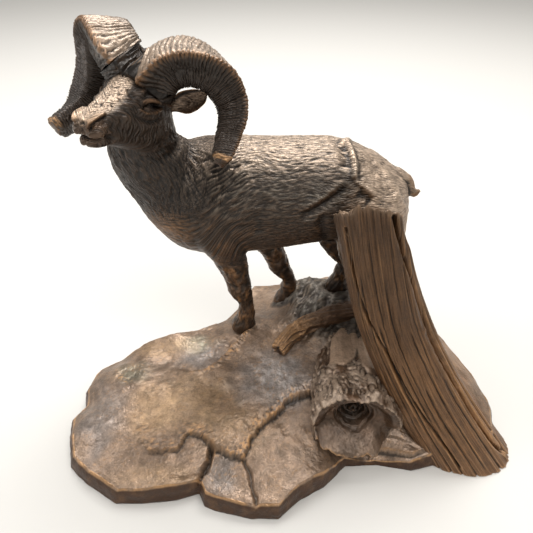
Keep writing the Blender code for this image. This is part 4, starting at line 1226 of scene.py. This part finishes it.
def make_trunk(material):
    count, sides = ((260, 250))
    angle = np.arange(sides) * 2 * math.pi / sides
    c, s = np.cos(angle), np.sin(angle)
    right = unit(vec(1, 0.25, 0))
    back = np.cross(vec(0, 0, 1), right)
    torn = 2.2 * (1 - 2.2 * np.abs(noise(flat(c * 3.4, s * 3.4), 4))) + 1.2 * noise(flat(c * 9, s * 9), 5)
    ends = [(0.02, 0.0), (0.3, 0.0), (0.55, 0.0), (0.75, 0.0), (0.88, 0.0), (0.95, 0.0)]
    shares = [(1.0, share) for share in np.linspace(0, 1.1, count)]
    rings = []
    for scale, share in ends + shares:
        centre = TRUNK_TOP + (TRUNK_FOOT - TRUNK_TOP) * share
        centre = centre + vec(-0.9, 0.1, 0) * (12 * math.sin(math.pi * min(1.0, share)))
        radius = 20 + 9 * share**1.5
        reach = radius * scale * (1 - 0.06 * np.cos(3 * angle))
        across, deep = reach * c, reach * 0.84 * s
        lift = (across * TRUNK_FALL[0] + deep * TRUNK_FALL[1]) * max(0.0, 1 - share / 0.35)
        lift = lift + torn * scale**2 * smooth(0.10, 0.0, share) - 2.0 * (1 - scale)
        sliver = 8.5 * smooth(10.6, 11.8, across) + 5.0 * smooth(-14.5, -15.5, across)
        lift = lift - sliver * smooth(0.12, 0.0, share)
        spot = centre + np.outer(across, right) + np.outer(deep, back)
        spot[:, 2] += lift
        rings.append(spot)
    skin = Skin(*tube(rings)).outward()
    lengths = np.repeat(np.linspace(0, TRUNK_LENGTH, count), sides)
    u = np.concatenate([np.zeros(len(ends) * sides), lengths, [0, TRUNK_LENGTH]])
    v = np.concatenate([np.tile(angle, len(rings)), [0, 0]])
    body = smooth(-0.1, 3, u)
    tree = skin.tree()
    w = v + 0.05 * noise(flat(u / 40, np.cos(v) * 1.5, np.sin(v) * 1.5), 3)
    cw, sw = np.cos(w), np.sin(w)

    def grain(fineness, long, seed):
        return noise(flat(cw * fineness, sw * fineness, u / long), seed)

    height = 0.55 * grain(2.2, 60, 5)
    height += 0.45 * (0.35 - np.abs(grain(7, 90, 6))) * 2
    height += 0.30 * grain(17, 50, 7) + 0.26 * grain(30, 30, 8)
    for seed, at in enumerate((0.2, 0.75, 1.3, 1.9, 2.5, 2.95)):
        path = at + 0.1 * noise(flat(u / 40, seed * 3.3), 40 + seed)
        height -= 2.6 * bell(v - path, 0.035) * (0.7 + 0.5 * grain(1, 40, 60 + seed))
    p = skin.points
    radius = 0.92 * (20 + 9 * (np.maximum(u, 0) / 170) ** 1.5)
    for turn, start, end, wide, deep in CRACKS:
        drift = 0.9 * noise(flat(u / 38, turn), 80) + 0.25 * noise(flat(u / 6, turn), 81)
        away = (v - math.radians(turn)) * radius + drift
        reach = smooth(start, start + 14, u) * smooth(end, end - 20, u)
        height -= deep * reach * bell(away, wide)
    for pixels, wide, deep in SPLITS:
        away, _ = to_line(p, pinned(tree, pixels))
        away = away + 0.35 * noise(flat(u / 5, wide), 70)
        height -= deep * bell(np.maximum(away, 0), wide)
    knot = np.linalg.norm(p - pinned(tree, [(440, 333)])[0], axis=1)
    height += 0.9 * bell(knot, 1.8)
    skin.push(height * body)
    depth = np.maximum(0, -skin.points[:, 2])
    way = unit(TRUNK_TOP - TRUNK_FOOT)
    skin.points += np.outer(depth / way[2], way)
    foot = skin.points[depth > 0].mean(0)
    skin.points += (foot - skin.points) * np.minimum(1, depth / 11)[:, None]
    skin.points[depth > 0, 2] = 0
    p = skin.points
    rise, broad = skin.relief(6), skin.relief(30)
    patch = noise(p / 26, 71) + 0.5 * noise(p / 9, 72)
    colour = mix(WOOD_DARK, WOOD_BROWN, 0.32 + 0.4 * smooth(-0.7, 0.7, patch))
    colour = mix(colour, WOOD_BROWN * 1.35, smooth(-0.05, 0.35, rise) * 0.8)
    colour = mix(colour, GOLD * 0.7, smooth(0.25, 0.7, rise + 0.3 * broad) * 0.5)
    colour = mix(colour, DARK * 0.8, smooth(-0.10, -0.65, rise + 0.3 * broad))
    colour = mix(colour, PALE * 0.7, smooth(5, 0, u) * smooth(-0.2, 0.3, rise) * 0.5)
    colour = mix(colour, TAN, smooth(150, 165, u) * smooth(0.0, 0.4, rise) * 0.4)
    # painted shade: darker towards the broken top
    colour = colour * (0.74 + 0.62 * smooth(0, 150, u))[:, None]
    finish_piece("trunk", skin, colour, 0.42, material, np.stack([u, w * 24, 0 * u], 1))


STUMP_FRONT, STUMP_BACK = vec(43, -45, 29), vec(46, 25, 22)
STUMP_LENGTH, STUMP_RADIUS, STUMP_LIP = 72.0, 27.0, 25.4

# the smooth plates on top of the stump, in pixels
LEFT_PLATE = [(330, 367), (333, 340), (341, 328), (352, 326), (358, 342), (356, 358), (346, 366)]
RIGHT_PLATE = [
    (355, 345), (361, 337), (372, 337), (384, 350), (394, 372), (388, 378), (372, 376), (362, 368),
]  # fmt: skip

# lower edge of the tongue of wood: across and up from the middle of the stump's broken end
TONGUE_EDGE = [
    (-27, -4), (-21, -9), (-12, -12), (-2, -13.5), (3, -13), (7, -11), (11, -13), (15, -14), (20, -15),
]  # fmt: skip


def stump_face(a, b):
    """How far the broken end reaches out: a hood over a hollow knot, and a tongue of wood below."""
    out = np.hypot(a, b)
    knot = np.hypot(a + 1, (b - 7.0) * 1.1)
    wobble = noise(flat(a / 5, b / 5), 4)
    reach = -3.0 - 7.0 * smooth(14, 5, knot)
    reach = reach + 0.8 * np.cos(knot * 2 * math.pi / 2.5 + 1.5 * wobble) * smooth(16, 10, knot)
    reach = reach + 3.0 * bell(knot, 2.4)
    reach = reach + 1.5 * noise(flat(a / 2.2, b / 2.2), 5) * smooth(8, 4, knot)
    hood = smooth(18, 24, out) * smooth(-6, 5, b)
    reach = reach + 5.5 * hood
    tongue = smooth(2, -13, b) * smooth(-27, -20, a) * smooth(19, 9, a + 0.2 * b)
    reach = reach + 16.0 * tongue
    reach = reach + 0.35 * noise(flat(a / 3, b / 6), 6) + 0.9 * noise(flat(a / 9, b / 9), 7)
    edge = np.interp(a, *np.array(TONGUE_EDGE, float).T) + 0.9 * noise(flat(a / 2.5, 0.5), 8)
    over = smooth(0.4, -1.6, b - edge)
    return reach - (reach + 5) * over, b - edge, knot, tongue


def make_stump(material):
    sides = 280
    angle = np.arange(sides) * 2 * math.pi / sides
    along = unit(STUMP_BACK - STUMP_FRONT)
    across = unit(np.cross(along, vec(0, 0, 1)))
    up = np.cross(across, along)
    c, s = np.cos(angle), np.sin(angle)
    lobes = 1 + 0.05 * np.sin(3 * angle + 0.6) + 0.03 * np.sin(7 * angle)
    lobes += 0.04 * noise(flat(c * 2.5, s * 2.5), 3) + 0.02 * noise(flat(c * 8, s * 8), 4)
    torn = 1.4 * noise(flat(c * 3, s * 3), 8) + 1.1 * noise(flat(c * 9, s * 9), 9)
    torn += 0.6 * noise(flat(c * 20, s * 20), 10)
    torn += 3.5 * bell(angle - math.radians(163), 0.16)
    lip = STUMP_LIP * lobes
    lip_reach = stump_face(lip * c, lip * s)[0] + torn * smooth(-0.4, 0.1, s)
    rings, fronts = [], []
    for r in np.concatenate([[0.02], np.linspace(0.04, 1, 86)]):
        reach, *_ = stump_face(lip * r * c, lip * r * s)
        reach = mix(reach, lip_reach, smooth(0.93, 1.0, np.full(sides, r)))
        rings.append((r * STUMP_LIP, -reach))
        fronts.append(1.0)
    rim = -lip_reach
    for r, back in ((26.0, -0.25), (26.5, 0.2), (26.8, 0.9), (STUMP_RADIUS, 1.8)):
        rings.append((r, rim + back))
        fronts.append(0.0)
    for k in np.linspace(0.02, 1, 120) ** 1.2:
        rings.append((STUMP_RADIUS * (1 - 0.24 * k), rim + 1.8 + (STUMP_LENGTH - 1.8 - rim) * k))
        fronts.append(0.0)
    spot = np.outer(c, across) + np.outer(s, up)
    points = [STUMP_FRONT + np.outer(back, along) + spot * (r * lobes)[:, None] for r, back in rings]
    skin = Skin(*tube(points)).outward()
    u = np.concatenate([np.concatenate([back for _, back in rings]), [0, STUMP_LENGTH]])
    face = np.concatenate([np.repeat(fronts, sides), [1, 0]])
    v = np.concatenate([np.tile(angle, len(rings)), [0, 0]])
    off = skin.points - STUMP_FRONT
    _, above, knot, tongue = stump_face(off @ across, off @ up)
    p = skin.points
    plates = np.maximum(in_pixels(p, LEFT_PLATE, 1.2), in_pixels(p, RIGHT_PLATE, 1.2)) * (1 - face)
    plates = plates * smooth(20, 26, u)
    bark = 0.5 * (1 - 2.2 * np.abs(noise(flat(np.cos(v) * 4.5, np.sin(v) * 4.5, u / 15), 12)))
    flake = noise(p / vec(3.4, 5.5, 3.4), 13)
    bark += 1.0 * np.abs(flake) + 0.8 * smooth(0.0, 0.1, flake)
    bark += 0.45 * noise(p / 1.8, 14) + 1.2 * noise(p / 10, 19)
    behind = u - np.concatenate([np.tile(rim, len(rings)), [0, 0]])
    bark = mix(bark * smooth(0.5, 5, behind), 2.4 + 0.2 * noise(p / 5, 15), plates)
    skin.push(mix(bark, 0.2 * noise(p / 1.8, 17) + 0.2 * noise(p / 3.6, 16), face))
    skin.points[:, 2] = np.maximum(skin.points[:, 2], 0.2)
    p = skin.points
    rise, broad = skin.relief(5), skin.relief(30)
    colour = mix(UMBER, BROWN * 0.9, smooth(-0.4, 0.5, rise + 0.5 * noise(p / 9, 5)))
    colour = mix(colour, PALE * 0.9, (1 - face) * smooth(-0.3, 0.25, 0.6 * noise(p / 10, 6) + rise) * 0.85)
    colour = mix(colour, ROCK_TAN * 1.6, plates * 0.9)
    worn = mix(ROCK_BROWN * 0.7, ROCK_TAN * 0.75, smooth(-0.4, 0.5, noise(p / 6, 20)))
    colour = mix(colour, worn, face * tongue * 0.9)
    # painted shade: dark in the hollow knot under the hood
    colour = mix(colour, DARK * 1.5, face * smooth(14, 6, knot) * smooth(0.4, -0.15, rise) * 0.92)
    colour = mix(colour, GOLD * 0.95, smooth(0.2, 0.7, rise) * (0.7 - 0.35 * (1 - face)))
    golden_edge = face * bell(above - 0.6, 0.7) * smooth(0.1, 0.4, tongue)
    colour = mix(colour, GOLD, golden_edge * smooth(-0.5, 0.3, noise(p / 3, 21)) * 0.8)
    colour = mix(colour, DARK, smooth(-0.1, -0.8, rise + 0.2 * broad))
    finish_piece("stump", skin, colour, 0.43, material, p)


def make_root(material):
    stations = [
        (-3, 8, 39, 4.2, 4.6),
        (4, 16.5, 42, 5.4, 5.2),
        (10.5, 22.5, 43.5, 5.8, 5.6),
        (17, 26.5, 45, 6.2, 5.8),
        (26, 29.5, 46.5, 6.4, 6.0),
        (37, 33, 48.5, 6.8, 6.2),
        (60, 38, 49, 7.4, 7.0),
    ]
    sides = 130
    rings = limb(stations, vec(0, 0, 1), 28, sides, 2.3)
    skin = Skin(*tube(rings)).outward()
    p = skin.points
    count = len(rings)
    u = np.concatenate([np.repeat(np.arange(count) * 74.0 / count, sides), [0, 74]])
    v = np.concatenate([np.tile(np.arange(sides) * 2 * math.pi / sides, count), [0, 0]])
    c, s = np.cos(v + u / 40), np.sin(v + u / 40)
    height = 1.2 * (1 - 2.2 * np.abs(noise(flat(c * 1.4, s * 1.4, u / 22), 5))) - 0.3
    height += 0.7 * noise(flat(c * 3, s * 3, u / 12), 6)
    height += 0.45 * noise(p / 3, 7) + 0.25 * noise(p / 1.3, 8)
    height += 1.2 * bell(u - 26, 3.0) * smooth(0, 1, c)
    skin.push(height)
    p = skin.points
    rise, broad = skin.relief(5), skin.relief(20)
    up = skin.normals()[:, 2]
    colour = mix(UMBER, BROWN, smooth(-0.3, 0.3, rise))
    lit = smooth(0.0, 0.6, up) * smooth(-0.3, 0.25, rise) * smooth(56, 20, u)
    colour = mix(colour, GOLD * 0.9, lit * 0.85)
    colour = mix(colour, DARK, smooth(-0.1, -0.6, rise + 0.3 * broad))
    finish_piece("root", skin, colour, 0.4, material, np.stack([u, v * 6, 0 * u], 1))


# Materials


class Socket:
    """A value in a node tree, which takes +, - and * with another or with a number, and abs."""

    def __init__(self, tree, output):
        self.tree, self.output = tree, output

    def _math(self, operation, first, second):
        return node(self.tree, "ShaderNodeMath", {"operation": operation}, {0: first, 1: second})

    def __add__(self, other):
        return self._math("ADD", self, other)

    def __sub__(self, other):
        return self._math("SUBTRACT", self, other)

    def __rsub__(self, other):
        return self._math("SUBTRACT", other, self)

    def __mul__(self, other):
        return self._math("MULTIPLY", self, other)

    def __abs__(self):
        return self._math("ABSOLUTE", self, 0.0)


def node(tree, kind, settings=None, values=None, out=0):
    """Adds a node with its settings and the values or links of its sockets."""
    made = tree.nodes.new(kind)
    for key, value in (settings or {}).items():
        setattr(made, key, value)
    for key, value in (values or {}).items():
        if isinstance(value, Socket):
            tree.links.new(value.output, made.inputs[key])
        else:
            made.inputs[key].default_value = value
    return Socket(tree, made.outputs[out])


def patina(name, along, across, strand_depth, grit_depth, contrast=1.0):
    """Bronze whose colour is in the points, with fine strands along the flow and fine grit."""
    material = bpy.data.materials.new(name)
    material.use_nodes = True
    tree = material.node_tree
    shader = tree.nodes["Principled BSDF"]
    tint = node(tree, "ShaderNodeAttribute", {"attribute_name": "tint"}, out="Color")
    polish = node(tree, "ShaderNodeAttribute", {"attribute_name": "polish"}, out="Fac")
    flow = node(tree, "ShaderNodeAttribute", {"attribute_name": "flow"}, out="Vector")
    place = node(tree, "ShaderNodeTexCoord", out="Object")
    stretched = node(
        tree,
        "ShaderNodeVectorMath",
        {"operation": "MULTIPLY"},
        {0: flow, 1: (1 / along, 1 / across, 1 / across)},
    )
    strands = node(tree, "ShaderNodeTexNoise", None, {"Vector": stretched, "Scale": 1.0, "Detail": 2.0})
    ripple = node(tree, "ShaderNodeTexNoise", None, {"Vector": stretched, "Scale": 0.55, "Detail": 1.0})
    crest = 1.0 - abs(ripple - 0.5) * 6.0
    grit = node(tree, "ShaderNodeTexNoise", None, {"Vector": place, "Scale": 1100.0, "Detail": 3.0})
    cloud = node(tree, "ShaderNodeTexNoise", None, {"Vector": place, "Scale": 160.0, "Detail": 4.0})
    height = strands * strand_depth + crest * (0.35 * strand_depth) + grit * grit_depth
    bump = node(tree, "ShaderNodeBump", None, {"Strength": 1.0, "Distance": 0.001, "Height": height})
    tree.links.new(bump.output, shader.inputs["Normal"])
    shade = (strands - 0.5) * (3.6 * strand_depth) + crest * (0.7 * strand_depth)
    shade = shade + (grit - 0.5) * contrast + (cloud - 0.5) * 0.9 + 1.0
    colour = node(tree, "ShaderNodeVectorMath", {"operation": "SCALE"}, {0: tint, "Scale": shade})
    tree.links.new(colour.output, shader.inputs["Base Color"])
    rough = polish + (cloud - 0.5) * 0.25
    tree.links.new(rough.output, shader.inputs["Roughness"])
    shader.inputs["Metallic"].default_value = 0.45
    shader.inputs["IOR"].default_value = 1.65
    return material


# Stage


LAMP_AIM = (0, 0, 0.1)


def make_stage():
    bpy.ops.mesh.primitive_plane_add(size=8, location=(0, 0, -0.0002))
    floor = bpy.context.object
    floor.name = "floor"
    material = bpy.data.materials.new("floor")
    material.use_nodes = True
    shader = material.node_tree.nodes["Principled BSDF"]
    shader.inputs["Base Color"].default_value = (0.62, 0.61, 0.59, 1)
    shader.inputs["Roughness"].default_value = 0.9
    shader.inputs["Specular IOR Level"].default_value = 0.1
    floor.data.materials.append(material)

    world = bpy.data.worlds.new("studio")
    world.use_nodes = True
    world.node_tree.nodes["Background"].inputs["Color"].default_value = (0.88, 0.86, 0.82, 1)
    world.node_tree.nodes["Background"].inputs["Strength"].default_value = 0.55
    bpy.context.scene.world = world

    def area(name, place, size, power, colour):
        data = bpy.data.lights.new(name, "AREA")
        data.shape = "RECTANGLE"
        data.size, data.size_y = size
        data.energy = power
        data.color = colour
        lamp = bpy.data.objects.new(name, data)
        lamp.location = place
        aim = Vector(LAMP_AIM) - Vector(place)
        lamp.rotation_euler = aim.to_track_quat("-Z", "Y").to_euler()
        bpy.context.scene.collection.objects.link(lamp)

    area("ceiling_back", (0.05, 0.65, 1.2), (1.0, 0.6), 20, (1.0, 0.98, 0.95))
    area("window_left", (-1.0, 0.0, 0.9), (0.6, 0.9), 6, (1.0, 0.99, 0.98))
    area("ceiling_front", (0.35, -0.55, 1.3), (0.9, 0.6), 9, (1.0, 0.97, 0.93))


def make_camera():
    data = bpy.data.cameras.new("camera")
    data.sensor_width = 36
    data.lens = data.sensor_width * FOCAL / PICTURE
    data.clip_start = 0.01
    camera = bpy.data.objects.new("camera", data)
    camera.location = Vector((CAMERA - MIDDLE) * MM)
    camera.rotation_euler = (math.pi / 2 - PITCH, 0, 0)
    bpy.context.scene.collection.objects.link(camera)
    bpy.context.scene.camera = camera


def main():
    bpy.ops.object.select_all(action="DESELECT")
    make_camera()
    make_stage()
    hair = patina("bronze_hair", 3.5, 0.85, 0.75, 0.08)
    horn = patina("bronze_horn", 0.8, 3.0, 0.25, 0.08)
    stone = patina("bronze_stone", 1.6, 1.6, 0.16, 0.16, 0.8)
    wood = patina("bronze_wood", 16.0, 0.5, 0.50, 0.08)
    make_body(hair)
    make_head(hair)
    for side in (1, -1):
        make_ear(side, hair)
        make_horn(side, horn)
    make_rock(stone)
    make_trunk(wood)
    make_stump(stone)
    make_root(wood)
    bpy.context.scene.view_settings.view_transform = "Standard"


main()
